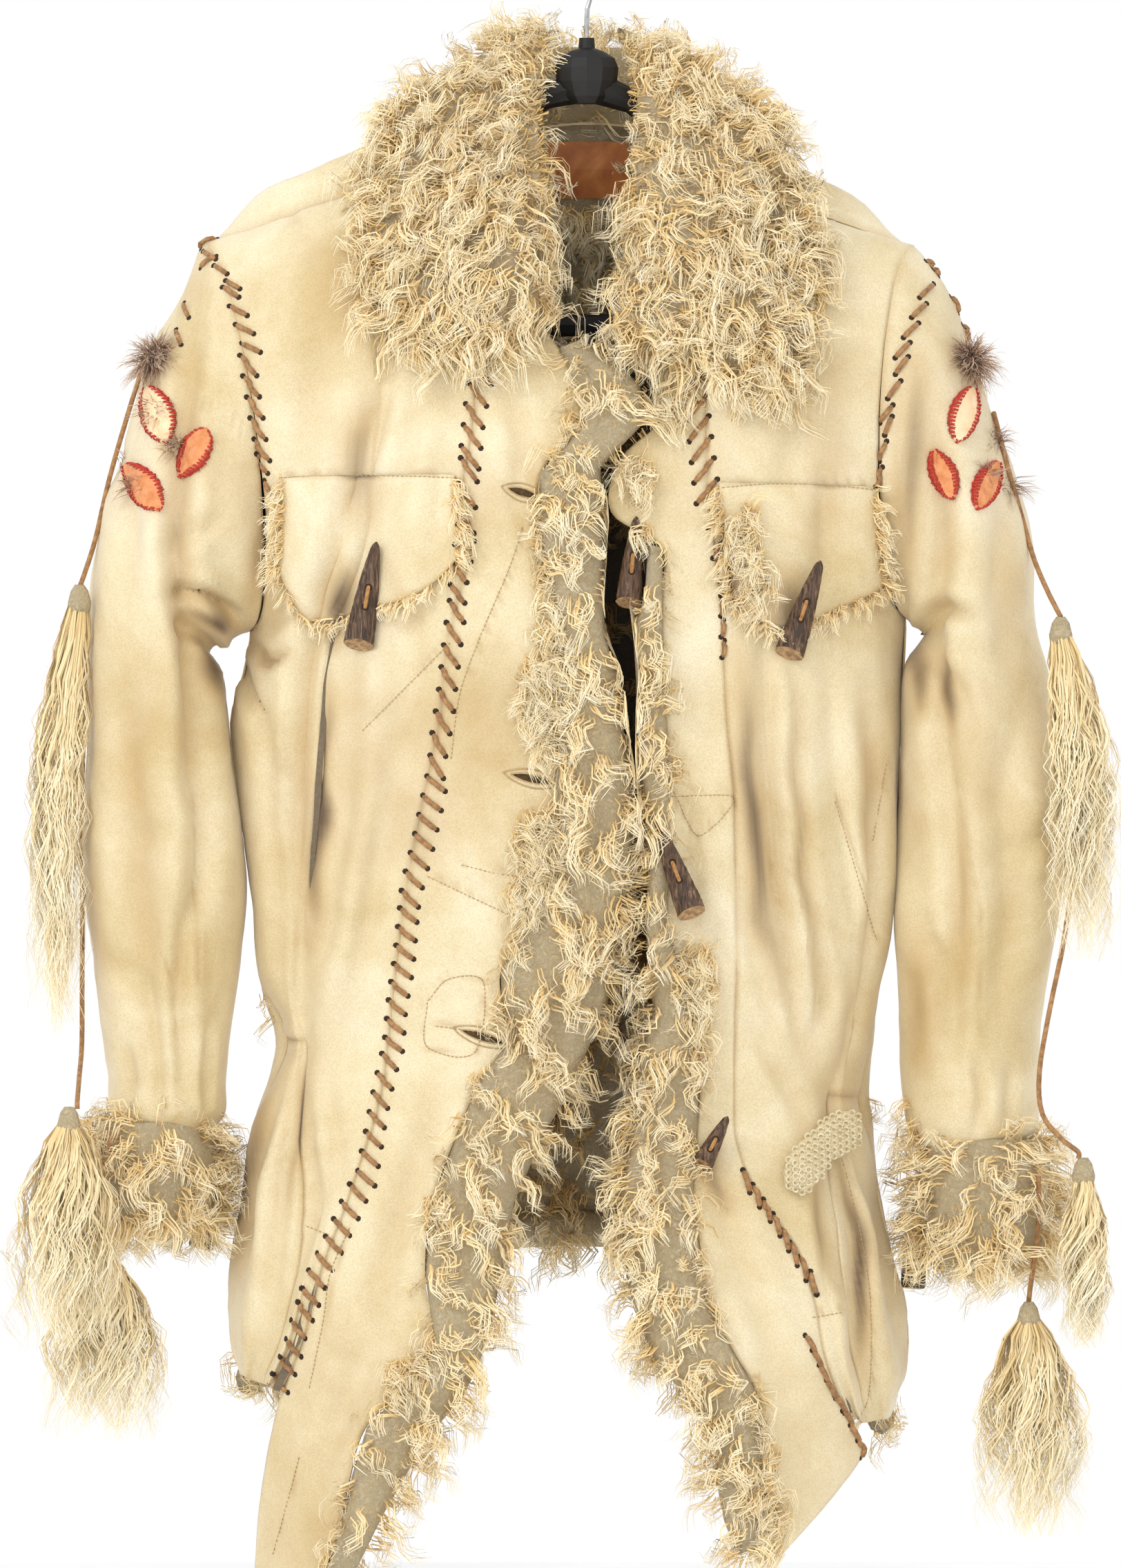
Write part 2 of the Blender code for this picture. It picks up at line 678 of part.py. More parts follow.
def cuff(name):
    top, bottom, x0, x1, deep, hollow = CUFFS[name]
    mid = (x0 + x1) / 2.0
    half = (x1 - x0) / 2.0
    # Share of the height, share of the outer size, and 1 for the outside
    profile = [(0.0, 0.80, 0), (0.04, 0.90, 1), (0.25, 1.0, 1), (0.60, 1.0, 1), (0.88, 0.93, 1),
               (1.0, 0.80, 1), (0.94, 0.62, 1), (0.5, 0.56, 1), (0.02, 0.60, 1)]
    steps = 16
    loops = []
    for k in range(steps):
        t = 2 * math.pi * k / steps
        loop = []
        for share, size, _ in profile:
            loop.append(at(mid + half * size * math.cos(t), mix(top, bottom, share),
                           deep * size * math.sin(t)))
        loops.append(loop)
    loft("cuff_" + name, loops, "fleece", closed=True, covered=True)


cuff("left")
cuff("right")

# Yoke flaps that lie on the side fronts: x, top z, bottom z
YOKE_L = [(392, 698, 815), (415, 695, 832), (450, 694, 866), (485, 693, 903), (549, 692, 905),
          (590, 692, 886), (625, 692, 864), (648, 692, 842), (664, 694, 806)]
YOKE_R = [(1044, 704, 880), (1072, 704, 902), (1118, 704, 916), (1160, 705, 906), (1195, 706, 893),
          (1230, 707, 872), (1252, 707, 857), (1268, 716, 846)]


def solid_sheet(name, high, low, columns, rows, slot):
    """A thin solid from two layers of points, column by column."""
    points = high + low
    n = len(high)
    faces = []
    for c in range(columns - 1):
        for r in range(rows - 1):
            a = c * rows + r
            faces.append([a, a + 1, a + rows + 1, a + rows])
            faces.append([a + n, a + rows + n, a + rows + 1 + n, a + 1 + n])
        for a in (c * rows, c * rows + rows - 1):
            b = a + rows
            faces.append([a, b, b + n, a + n] if a == c * rows else [b, a, a + n, b + n])
    for c in (0, columns - 1):
        for r in range(rows - 1):
            a = c * rows + r
            b = a + 1
            faces.append([b, a, a + n, b + n] if c == 0 else [a, b, b + n, a + n])
    cover(high, [f for f in faces if max(f) < n])
    return make(name, points, faces, slot)


YOKE_ROWS = 5


def on_column(index, j, z):
    """Point and normal where a column of a front is at height z."""
    for i in range(len(index) - 1):
        if index[i + 1][j] is None:
            break
        p, q = SHELL.points[index[i][j]], SHELL.points[index[i + 1][j]]
        zp, zq = -p[2] / UNIT + TOP_Z, -q[2] / UNIT + TOP_Z
        if zp <= z <= zq:
            t = (z - zp) / (zq - zp)
            n = mix(NORMALS[index[i][j]], NORMALS[index[i + 1][j]], t)
            return mix(p, q, t), n / np.linalg.norm(n)
    raise ValueError("column ends above %g" % z)


def yoke(name, outline, index, columns, gap, thick):
    """A flap that lies on a side front, cut from that panel's own points."""
    low = []
    high = []
    for j in columns:
        top_x = on_column(index, j, 700)[0][0] / UNIT + MID_X
        end_z = table(outline, top_x, 2)
        end_x = on_column(index, j, end_z)[0][0] / UNIT + MID_X
        top = table(outline, top_x, 1)
        end = table(outline, end_x, 2)
        for r in range(YOKE_ROWS):
            p, n = on_column(index, j, mix(top, end, r / (YOKE_ROWS - 1)))
            low.append(p + n * gap)
            high.append(p + n * (gap + thick))
    solid_sheet(name, high, low, len(columns), YOKE_ROWS, "hide")


yoke("yoke_left", sorted(YOKE_L), INDEX_L, (1, 2, 3, 4, 5, 6), 0.0010, 0.0025)
yoke("yoke_right", sorted(YOKE_R), INDEX_R, (1, 2, 3, 4, 5, 6), 0.0012, 0.0025)

# Collar and lapels: z, left x, right x, depth in mm where no cloth lies behind, thickness in mm
LAPEL_L = [(46, 752, 798, 30, 10), (60, 694, 798, 24, 18), (95, 682, 796, 8, 22),
           (128, 604, 790, -5, 28), (150, 556, 790, -7, 29), (190, 540, 792, -12, 30),
           (240, 528, 792, -30, 30), (290, 524, 794, -46, 30), (350, 523, 798, -58, 30),
           (410, 525, 803, -69, 30), (460, 528, 800, -78, 29), (490, 538, 778, -83, 26),
           (508, 572, 742, -86, 18), (522, 600, 690, -87, 9)]
LAPEL_R = [(42, 884, 918, 30, 10), (62, 900, 950, 24, 18), (92, 906, 1030, 8, 22),
           (128, 912, 1078, -5, 28), (170, 912, 1132, -8, 29), (215, 912, 1152, -20, 30),
           (260, 912, 1162, -36, 30), (310, 907, 1180, -50, 30), (360, 900, 1194, -60, 30),
           (410, 887, 1194, -69, 30), (460, 882, 1184, -78, 30), (505, 900, 1176, -84, 29),
           (540, 960, 1172, -90, 24), (566, 1030, 1164, -92, 18), (584, 1066, 1130, -93, 8)]


def lapel(name, stations, outer_first, bvh):
    """A folded fleece lapel as a cushion of stations from its top to its bottom."""
    loops = []
    shares = [0.0, 0.10, 0.27, 0.5, 0.73, 0.90, 1.0]
    for z, x0, x1, free, thick in stations:
        rear = []
        for s in shares:
            x = mix(x0, x1, s)
            y = free
            if z > 175:
                hit, _ = cast(bvh, x, z)
                if hit is not None and hit.y < 0.02:
                    y = min(hit.y * 1000 - 1.6, free + 26)
            rear.append([x, y])
        smooth = [r[1] for r in rear]
        for k in range(1, len(rear) - 1):
            smooth[k] = min(rear[k][1], (rear[k - 1][1] + rear[k][1] + rear[k + 1][1]) / 3.0)
        front = []
        back = []
        for k, s in enumerate(shares):
            x = rear[k][0]
            dome = (1.0 - abs(2 * s - 1) ** 3.0) ** 0.5
            back.append(at(x, z, smooth[k] - 0.14 * thick * (1 - dome)))
            front.append(at(x, z, smooth[k] - thick * (0.30 + 0.70 * dome)))
        loops.append(front + back[::-1])
    loft(name, loops, "fleece", covered=True)


BVH = tree()
lapel("collar_left", LAPEL_L, True, BVH)
lapel("collar_right", LAPEL_R, False, BVH)

# Back of the collar: depth in mm and z of its section, stand first and then the fall
COLLAR_SECTION = [(46, 160), (43, 110), (46, 62), (58, 40), (76, 36), (94, 58), (104, 110),
                  (104, 170), (100, 228), (82, 236), (73, 205), (66, 172)]
# x, shift in depth, drop, size
COLLAR_STATIONS = [(590, -46, 34, 0.30), (606, -36, 28, 0.52), (646, -22, 18, 0.72), (695, -6, 10, 0.90),
                   (755, 0, 4, 0.98), (853, 0, 0, 1.0), (946, 0, 6, 0.98), (1010, -6, 18, 0.90),
                   (1066, -22, 34, 0.72), (1106, -36, 50, 0.52), (1122, -46, 58, 0.30)]


def collar_back():
    loops = []
    for x, shift, drop, size in COLLAR_STATIONS:
        loop = []
        for y, z in COLLAR_SECTION:
            y2 = 74 + (y - 74) * size + shift
            z2 = 134 + (z - 134) * size + drop
            loop.append(at(x, z2, y2))
        loops.append(loop)
    loft("collar_back", loops, "fleece")


collar_back()


# Label patch on the inside of the back, below the neckline
def label_patch():
    high = []
    low = []
    columns = (792, 820, 851, 882, 911)
    rows = (200, 240, 282)
    for x in columns:
        for z in rows:
            hit, _, _, _ = BACK_TREE.ray_cast(Vector(at(x, z, -300)), Vector((0, 1, 0)))
            p = np.array(hit) - np.array((0, WALL * 1.6 + 0.0012, 0))
            low.append(p)
            high.append(p - np.array((0, 0.0014, 0)))
    solid_sheet("label", high, low, len(columns), len(rows), "label")


BACK_TREE = BVHTree.FromPolygons([tuple(p) for p in SHELL.points],
                                 [c[:4] for c in SHELL.cells if c[4] == "back"])
label_patch()

# Hanger ring: x, z, half height, middle and half depth in mm
HANGER_RING = [
    (853, 122, 26, 0, 11), (790, 140, 18, 4, 9), (720, 180, 15, 7, 8), (640, 230, 14, 8, 8),
    (554, 249, 14, 8, 8), (470, 279, 14, 8, 8), (428, 302, 14, 8, 8), (408, 338, 12, 6, 7),
    (405, 385, 12, 3, 7), (420, 435, 14, 0, 6), (470, 468, 16, 0, 6), (560, 471, 16.5, 0, 6),
    (700, 471, 16.5, 0, 6), (853, 471, 16.5, 0, 6), (1000, 471, 16.5, 0, 6), (1150, 471, 16.5, 0, 6),
    (1220, 470, 16, 0, 6), (1262, 450, 14, 2, 6), (1276, 414, 12, 5, 7), (1268, 380, 12, 8, 7),
    (1246, 350, 14, 10, 8), (1215, 332, 14, 10, 8), (1152, 302, 14, 10, 8), (1066, 262, 14, 8, 8),
    (986, 204, 15, 7, 8), (916, 147, 18, 4, 9),
]


def hanger():
    loops = []
    n = len(HANGER_RING)
    for i, (x, z, high, middle, deep) in enumerate(HANGER_RING):
        p = at(x, z, middle)
        a = at(HANGER_RING[i - 1][0], HANGER_RING[i - 1][1], 0)
        b = at(HANGER_RING[(i + 1) % n][0], HANGER_RING[(i + 1) % n][1], 0)
        run = (b - a) / np.linalg.norm(b - a)
        side = np.cross(run, (0, 1, 0))
        loops.append([p + side * high * UNIT * math.cos(t) + np.array((0, deep / 1000.0, 0)) * math.sin(t)
                      for t in (2 * math.pi * k / 8 for k in range(8))])
    ring = loft("hanger", loops, "plastic", closed=True)
    # Bell and ferrule: z, half width, half depth in mm
    stations = [(55, 11, 5.0), (70, 12, 5.4), (74, 24, 9), (84, 40, 12), (98, 46, 13.5), (118, 44, 13.5),
                (140, 34, 12.5), (150, 24, 11)]
    bell = loft("bell", [[at(850 + half * math.cos(t), z, deep * math.sin(t))
                          for t in (2 * math.pi * k / 12 for k in range(12))]
                         for z, half, deep in stations], "plastic")
    boolean(ring, [bell], "UNION")


hanger()


def hook():
    path = [(850, 53), (850, 30), (851, 12), (856, -4)]
    for k in range(0, 13):
        t = math.radians(-62 + k * 20)
        path.append((853 + 52 * math.cos(t), -57.5 - 52 * math.sin(t)))
    tube("hook", [at(x, z, 0) for x, z in path], 0.0016, "wire", 8)


hook()

# Horn toggles: tip x, tip z, end x, end z, half width at the end, holes
TOGGLES = {
    "toggle_1": (548, 788, 521, 944, 22),
    "toggle_2": (1185, 815, 1137, 956, 22),
    "toggle_3": (921, 752, 909, 884, 19),
    "toggle_4": (950, 1190, 1003, 1328, 21),
    "toggle_5": (1052, 1612, 1010, 1690, 17),
}


def toggle(name, bvh, forced=None):
    x0, z0, x1, z1, half = TOGGLES[name]
    front = []
    for s in np.linspace(0.0, 1.0, 9):
        for side in (-1, 0, 1):
            width = mix(6, half, s) * side
            hit, _ = cast(bvh, mix(x0, x1, s) + width, mix(z0, z1, s))
            if hit is not None:
                front.append(hit.y)
    base = min(front) if forced is None else forced
    thick = 0.0058
    y = base - 0.0012 - thick
    a = at(x0, z0, y * 1000)
    b = at(x1, z1, y * 1000)
    run = (b - a) / np.linalg.norm(b - a)
    side = np.cross(run, (0, 1, 0))
    # Share of the length, share of the half width, share of the thickness
    profile = [(0.0, 0.16, 0.30), (0.05, 0.30, 0.50), (0.25, 0.52, 0.75), (0.5, 0.76, 0.95),
               (0.8, 0.96, 1.0), (0.97, 1.0, 1.0), (1.0, 0.92, 0.9)]
    loops = []
    for s, w, d in profile:
        c = mix(a, b, s)
        loops.append([c + side * half * UNIT * w * math.cos(t) + np.array((0, thick * d * math.sin(t), 0))
                      for t in (2 * math.pi * k / 10 for k in range(10))])
    body = loft(name, loops, "horn", covered=False)
    holes = [mix(a, b, 0.42), mix(a, b, 0.60)]
    cutters = []
    for k, h in enumerate(holes):
        cutters.append(tube("cut_%d" % k, [h + np.array((0, -0.02, 0)), h + np.array((0, 0.02, 0))],
                            0.0021, "thong", 8))
    boolean(body, cutters, "DIFFERENCE")
    out = np.array((0, -thick - 0.0018, 0))
    rear = np.array((0, thick + 0.0006, 0))
    tube(name.replace("toggle", "loop"), [holes[0] + rear, holes[0] + out * 0.75, mix(holes[0], holes[1], 0.2) + out,
                                          mix(holes[0], holes[1], 0.8) + out, holes[1] + out * 0.75, holes[1] + rear],
         0.0013, "thong", 6)


BVH = tree()
for toggle_name in TOGGLES:
    toggle(toggle_name, BVH)


# Toggles that hang behind the cuffs, with their ends below them
def cuff_toggle(name, x0, z0, y0, x1, z1, y1):
    a = at(x0, z0, y0)
    b = at(x1, z1, y1)
    run = (b - a) / np.linalg.norm(b - a)
    side = np.cross(run, (0, 1, 0))
    side /= np.linalg.norm(side)
    deep = np.cross(side, run)
    loops = []
    for s, w in ((0.0, 0.25), (0.2, 0.6), (0.6, 0.9), (0.97, 1.0), (1.0, 0.9)):
        c = mix(a, b, s)
        loops.append([c + side * 0.0085 * w * math.cos(t) + deep * 0.006 * w * math.sin(t)
                      for t in (2 * math.pi * k / 8 for k in range(8))])
    loft(name, loops, "horn")


cuff_toggle("cuff_toggle_left", 318, 1690, 66, 288, 1811, 58)
cuff_toggle("cuff_toggle_right", 1332, 1740, 64, 1324, 1868, 56)


# Knitted tie that gathers the right waist: x, z, half height, half thickness in mm
TIE = [(1146, 1722, 14, 4), (1153, 1704, 26, 7), (1163, 1684, 30, 9), (1176, 1668, 29, 8),
       (1189, 1657, 26, 7), (1202, 1648, 31, 9), (1218, 1637, 31, 9), (1232, 1626, 27, 8), (1243, 1617, 14, 5)]


def waist_tie(bvh):
    loops = []
    for i, (x, z, high, deep) in enumerate(TIE):
        a = TIE[max(i - 1, 0)]
        b = TIE[min(i + 1, len(TIE) - 1)]
        run = np.array((b[0] - a[0], b[1] - a[1]), float)
        run /= np.linalg.norm(run)
        normal = np.array((-run[1], run[0]))
        ys = []
        for s in (-1, -0.5, 0, 0.5, 1):
            hit, _ = cast(bvh, x + normal[0] * high * s, z + normal[1] * high * s)
            if hit is not None:
                ys.append(hit.y * 1000)
        y = min(ys) - deep - 1.4
        loop = []
        for k in range(10):
            t = 2 * math.pi * k / 10
            loop.append(at(x + normal[0] * high * math.cos(t), z + normal[1] * high * math.cos(t),
                           y + deep * math.sin(t)))
        loops.append(loop)
    loft("waist_tie", loops, "knit")


waist_tie(BVH)

# Leaf shapes sewn on the upper sleeves: x, z, length, half width, turn in degrees, colour
LEAVES = {
    "leaf_left_1": (232, 604, 88, 23, 16, "hide"),
    "leaf_left_2": (284, 660, 80, 21, -30, "hide"),
    "leaf_left_3": (212, 708, 84, 21, 34, "suede"),
    "leaf_right_1": (1392, 604, 84, 20, -14, "hide"),
    "leaf_right_2": (1362, 690, 78, 19, 24, "hide"),
    "leaf_right_3": (1424, 706, 76, 18, -22, "suede"),
}


def leaf(name, bvh):
    x, z, length, half, turn, slot = LEAVES[name]
    turn = math.radians(turn)
    stations = [(-0.5, 0.10), (-0.34, 0.62), (-0.1, 0.98), (0.14, 0.90), (0.36, 0.52), (0.5, 0.08)]
    loops = []
    for s, w in stations:
        cx = x + math.sin(turn) * length * s
        cz = z + math.cos(turn) * length * s
        out = []
        for layer in (0.0028, 0.0013):
            line = []
            for side in (-1, -0.4, 0.4, 1):
                px = cx + math.cos(turn) * half * w * side
                pz = cz - math.sin(turn) * half * w * side
                hit, normal = cast_near(bvh, px, pz)
                n = np.array(normal) * 0.6 + np.array((0, -0.4, 0))
                n /= np.linalg.norm(n)
                line.append(np.array(hit) + n * layer)
            out.append(line)
        loops.append(out[0] + out[1][::-1])
    loft(name, loops, slot)


for leaf_name in LEAVES:
    leaf(leaf_name, BVH)

# Fur puffs between the leaves: x, z, radius
PUFFS = {"puff_left": (236, 528, 18), "puff_right": (1394, 530, 17)}


def puff(name, bvh):
    x, z, size = PUFFS[name]
    hit, normal = cast_near(bvh, x, z)
    n = np.array(normal)
    r = size * UNIT
    centre = np.array(hit) + n * (r * 0.75 + 0.0012)
    side = np.cross(n, (0, 0, 1))
    side /= np.linalg.norm(side)
    up = np.cross(side, n)
    loops = []
    for s in (-0.92, -0.5, 0.0, 0.5, 0.92):
        w = math.sqrt(1 - s * s)
        loops.append([centre + up * r * s + (side * math.cos(t) * w + n * math.sin(t) * w * 0.7) * r
                      for t in (2 * math.pi * k / 8 for k in range(8))])
    loft(name, loops, "puff")


for puff_name in PUFFS:
    puff(puff_name, BVH)

# Tassels of long locks: head x, head z, depth in mm, hair left x, right x, end z, half depth in mm
TASSELS = {
    "tassel_left_1": (118, 852, -36, 40, 132, 1515, 12),
    "tassel_left_2": (106, 1606, -79, 14, 194, 1952, 14),
    "tassel_left_3": (150, 1798, -38, 52, 252, 2086, 14),
    "tassel_right_1": (1532, 898, -58, 1508, 1618, 1398, 13),
    "tassel_right_2": (1564, 1678, -66, 1534, 1598, 1953, 11),
    "tassel_right_3": (1487, 1884, -46, 1403, 1582, 2220, 14),
}


def tassel(name):
    hx, hz, depth, x0, x1, end, half_deep = TASSELS[name]
    rng = random.Random(name)
    head = 0.0085 if x1 - x0 > 80 else 0.0070
    top = at(hx, hz, depth)
    base = top + np.array((0, 0, -0.016))
    centre_x = ((x0 + x1) / 2.0 - MID_X) * UNIT
    reach = (x1 - x0) / 2.0 * UNIT
    length = (end - hz) * UNIT - 0.016
    disc = [np.array((0.0, 0.0))]
    disc += [np.array((math.cos(t), math.sin(t))) * 0.5 for t in (2 * math.pi * k / 6 for k in range(6))]
    disc += [np.array((math.cos(t), math.sin(t))) for t in (2 * math.pi * k / 12 for k in range(12))]
    cells = [(0, 1 + (k + 1) % 6, 1 + k) for k in range(6)]
    for k in range(6):
        a, b = 1 + k, 1 + (k + 1) % 6
        o0, o1, o2 = 7 + 2 * k, 7 + 2 * k + 1, 7 + (2 * k + 2) % 12
        cells += [(a, o1, o0), (a, b, o1), (b, o2, o1)]
    points = [base + np.array((p[0] * head, p[1] * head * 0.9, 0)) for p in disc]
    faces = []
    # Rounded head above the disc
    rings = [list(range(7, 19))]
    for lift, size in ((0.006, 1.05), (0.012, 0.85), (0.0155, 0.45)):
        start = len(points)
        for k in range(12):
            t = 2 * math.pi * k / 12
            points.append(base + np.array((math.cos(t) * head * size, math.sin(t) * head * size * 0.9, lift)))
        rings.append(list(range(start, start + 12)))
    points.append(base + np.array((0, 0, 0.0165)))
    crown = len(points) - 1
    for a, b in zip(rings, rings[1:]):
        for k in range(12):
            m = (k + 1) % 12
            faces.append([a[k], a[m], b[m], b[k]])
    for k in range(12):
        faces.append([rings[-1][k], rings[-1][(k + 1) % 12], crown])
    for cell in cells:
        middle = sum(disc[v] for v in cell) / 3.0
        full = rng.uniform(0.72, 1.0)
        wave = rng.uniform(-1, 1)
        previous = list(cell)
        for s, size in ((0.0, 0.60), (0.42, 1.15), (1.0, 0.35)):
            share = s * full
            widen_x = mix(head, reach * 0.90, min(1.0, share * 2.4) ** 0.8)
            widen_y = mix(head * 0.9, half_deep / 1000.0 * 0.92, min(1.0, share * 2.4) ** 0.8)
            cx = mix(base[0], centre_x, min(1.0, share * 2.0))
            sway = 0.0010 * wave * math.sin(share * 7.0) * (1 if s else 0)
            start = len(points)
            for v in cell:
                off = middle + (disc[v] - middle) * size * 0.6
                if s:
                    off = middle + (disc[v] - middle) * size * 0.42
                points.append(np.array((cx + off[0] * widen_x + sway,
                                        base[1] + off[1] * widen_y,
                                        base[2] - 0.0005 * (1 if s else 0) - length * share)))
            current = [start, start + 1, start + 2]
            for k in range(3):
                m = (k + 1) % 3
                faces.append([previous[k], previous[m], current[m], current[k]])
            previous = current
        faces.append(previous)
    make(name, points, faces, "fleece")


for tassel_name in TASSELS:
    tassel(tassel_name)

# Thongs that hold the tassels: plan x, z and depth in mm
THONGS = {
    "thong_left_1": [(215, 508, -1), (192, 578, -1), (160, 688, -2), (140, 779, -16), (127, 826, -33),
                     (119, 849, -35)],
    "thong_left_2": [(124, 905, -4), (122, 1050, -8), (118, 1190, -10), (120, 1300, -12), (120, 1420, -14),
                     (120, 1510, -18), (119, 1555, -52), (118, 1590, -77), (118, 1602, -79)],
    "thong_left_3": [(166, 1638, -51), (157, 1690, -52), (147, 1746, -45), (150, 1776, -46), (150, 1786, -38),
                     (150, 1794, -38)],
    "thong_right_1": [(1439, 598, -8), (1458, 678, -28), (1481, 759, -27), (1496, 812, -32), (1514, 858, -48),
                      (1532, 895, -58)],
    "thong_right_2": [(1549, 1170, -4), (1553, 1260, -10), (1539, 1360, -30), (1517, 1460, -48), (1501, 1550, -62),
                      (1505, 1610, -66), (1533, 1646, -67), (1556, 1664, -66), (1557, 1674, -66)],
    "thong_right_3": [(1501, 1700, -47), (1501, 1760, -47), (1498, 1801, -45), (1490, 1852, -50),
                      (1487, 1881, -44)],
}


def thong(name):
    path = [at(*row) for row in THONGS[name]]
    steps = max(2, round(16 / (len(path) - 1)))
    fine = []
    for i in range(len(path) - 1):
        p0 = path[max(i - 1, 0)]
        p1 = path[i]
        p2 = path[i + 1]
        p3 = path[min(i + 2, len(path) - 1)]
        for s in (k / steps for k in range(steps)):
            fine.append(0.5 * ((2 * p1) + (p2 - p0) * s + (2 * p0 - 5 * p1 + 4 * p2 - p3) * s ** 2
                               + (3 * p1 - p0 - 3 * p2 + p3) * s ** 3))
    fine.append(path[-1])
    tube(name, fine, 0.0017, "thong", 4)


for thong_name in THONGS:
    thong(thong_name)


# Seating: pieces move along a direction until a small gap is left, or back out of what they touch
SEATS = [
    (("cuff_left",), (0, 0, 1)),
    (("cuff_right",), (0, 0, 1)),
    (("collar_left",), (0, 1, 0)),
    (("collar_right",), (0, 1, 0)),
    (("collar_back",), (0, -1, -1)),
    (("label",), (0, 1, 0)),
    (("toggle_1", "loop_1"), (0, 1, 0)),
    (("toggle_2", "loop_2"), (0, 1, 0)),
    (("toggle_3", "loop_3"), (0, 1, 0)),
    (("toggle_4", "loop_4"), (0, 1, 0)),
    (("toggle_5", "loop_5"), (0, 1, 0)),
    (("cuff_toggle_left",), (0, -1, 0)),
    (("cuff_toggle_right",), (0, -1, 0)),
    (("waist_tie",), (0, 1, 0)),
    (("puff_left",), (1, 1, 0)),
    (("puff_right",), (-1, 1, 0)),
    (("leaf_left_1",), (0, 1, 0)),
    (("leaf_left_2",), (0, 1, 0)),
    (("leaf_left_3",), (0, 1, 0)),
    (("leaf_right_1",), (0, 1, 0)),
    (("leaf_right_2",), (0, 1, 0)),
    (("leaf_right_3",), (0, 1, 0)),
    (("tassel_left_1",), (0, 0, 1)),
    (("tassel_left_2",), (0, 0, 1)),
    (("tassel_left_3",), (0, 0, 1)),
    (("tassel_right_1",), (0, 0, 1)),
    (("tassel_right_2",), (0, 0, 1)),
    (("tassel_right_3",), (0, 0, 1)),
]
SEAT_STEP = 0.0012
SEAT_LIMIT = 0.024
SEAT_GAP = 0.0005


def surface(objects):
    points = []
    faces = []
    for obj in objects:
        start = len(points)
        points.extend(v.co.copy() for v in obj.data.vertices)
        faces.extend(tuple(i + start for i in t.vertices) for t in triangles(obj.data))
    return points, faces


def seat(names, direction):
    moving = [bpy.data.objects[n] for n in names]
    direction = Vector(direction).normalized()
    points, faces = surface(moving)
    fixed = BVHTree.FromPolygons(*surface([o for o in COLLECTION.objects if o not in moving]))

    def touches(distance):
        shifted = [p + direction * distance for p in points]
        return bool(BVHTree.FromPolygons(shifted, faces).overlap(fixed))

    way = -1 if touches(0.0) else 1
    free, hit = (None, 0.0) if way < 0 else (0.0, None)
    travel = 0.0
    while abs(travel) < SEAT_LIMIT:
        travel += way * SEAT_STEP
        if touches(travel):
            hit = travel
            if way > 0:
                break
        else:
            free = travel
            if way < 0:
                break
    if free is None or hit is None:
        print("not seated", names)
        return
    for _ in range(7):
        middle = (free + hit) / 2.0
        if touches(middle):
            hit = middle
        else:
            free = middle
    shift = direction * (free - SEAT_GAP)
    for obj in moving:
        for v in obj.data.vertices:
            v.co += shift
        obj.data.update()


for seat_names, seat_direction in SEATS:
    seat(seat_names, seat_direction)
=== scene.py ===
# Looks of the lambskin coat on its hanger
# Lengths in the tables are plan units, read off the front view; UNIT turns them into metres.
# X is to the viewer's right, Z up, and the front faces -Y. Left and right mean the viewer's.

import json
import math

import bpy
import numpy as np
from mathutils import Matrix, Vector
from mathutils.bvhtree import BVHTree

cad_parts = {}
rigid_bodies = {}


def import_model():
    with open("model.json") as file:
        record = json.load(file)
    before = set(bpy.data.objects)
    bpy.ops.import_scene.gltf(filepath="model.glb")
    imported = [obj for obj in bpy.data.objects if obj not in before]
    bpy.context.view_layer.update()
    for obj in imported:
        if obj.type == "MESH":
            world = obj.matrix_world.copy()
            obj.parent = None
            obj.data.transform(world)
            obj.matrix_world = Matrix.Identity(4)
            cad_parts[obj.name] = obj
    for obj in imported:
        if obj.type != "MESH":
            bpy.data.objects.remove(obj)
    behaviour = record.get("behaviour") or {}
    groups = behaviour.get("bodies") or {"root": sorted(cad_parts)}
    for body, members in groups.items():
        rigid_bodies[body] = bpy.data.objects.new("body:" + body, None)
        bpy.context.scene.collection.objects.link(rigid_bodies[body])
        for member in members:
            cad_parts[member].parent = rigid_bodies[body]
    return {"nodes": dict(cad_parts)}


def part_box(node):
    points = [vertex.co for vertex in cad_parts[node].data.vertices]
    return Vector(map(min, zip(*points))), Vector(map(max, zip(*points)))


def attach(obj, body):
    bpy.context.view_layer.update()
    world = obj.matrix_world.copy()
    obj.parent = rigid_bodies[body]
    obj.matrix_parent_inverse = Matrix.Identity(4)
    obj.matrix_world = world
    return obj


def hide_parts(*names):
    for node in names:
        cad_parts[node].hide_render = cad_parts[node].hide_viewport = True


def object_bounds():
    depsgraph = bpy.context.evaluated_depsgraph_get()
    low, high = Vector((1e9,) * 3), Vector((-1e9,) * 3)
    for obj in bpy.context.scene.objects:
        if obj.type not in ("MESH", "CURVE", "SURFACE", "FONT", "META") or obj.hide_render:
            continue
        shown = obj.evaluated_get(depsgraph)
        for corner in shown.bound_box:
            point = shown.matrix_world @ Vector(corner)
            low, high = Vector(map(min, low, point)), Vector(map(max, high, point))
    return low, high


for old in list(bpy.data.objects):
    bpy.data.objects.remove(old, do_unlink=True)
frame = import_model()
CAD_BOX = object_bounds()
NODES = frame["nodes"]

# Metres for each plan unit, and the plan's middle and top
UNIT = 0.00046
MID_X = 853.0
TOP_Z = -106.0
# Thickness of the hide in metres, and fine steps for each coarse one: fronts and sleeves, then back
WALL = 0.0028
FINE = 6
BACK_FINE = 4


def at(x, z, depth):
    """Plan x and z with a depth in mm, as metres."""
    return np.array(((x - MID_X) * UNIT, depth / 1000.0, -(z - TOP_Z) * UNIT))


def plan_x(points):
    return points[..., 0] / UNIT + MID_X


def plan_z(points):
    return -points[..., 2] / UNIT + TOP_Z


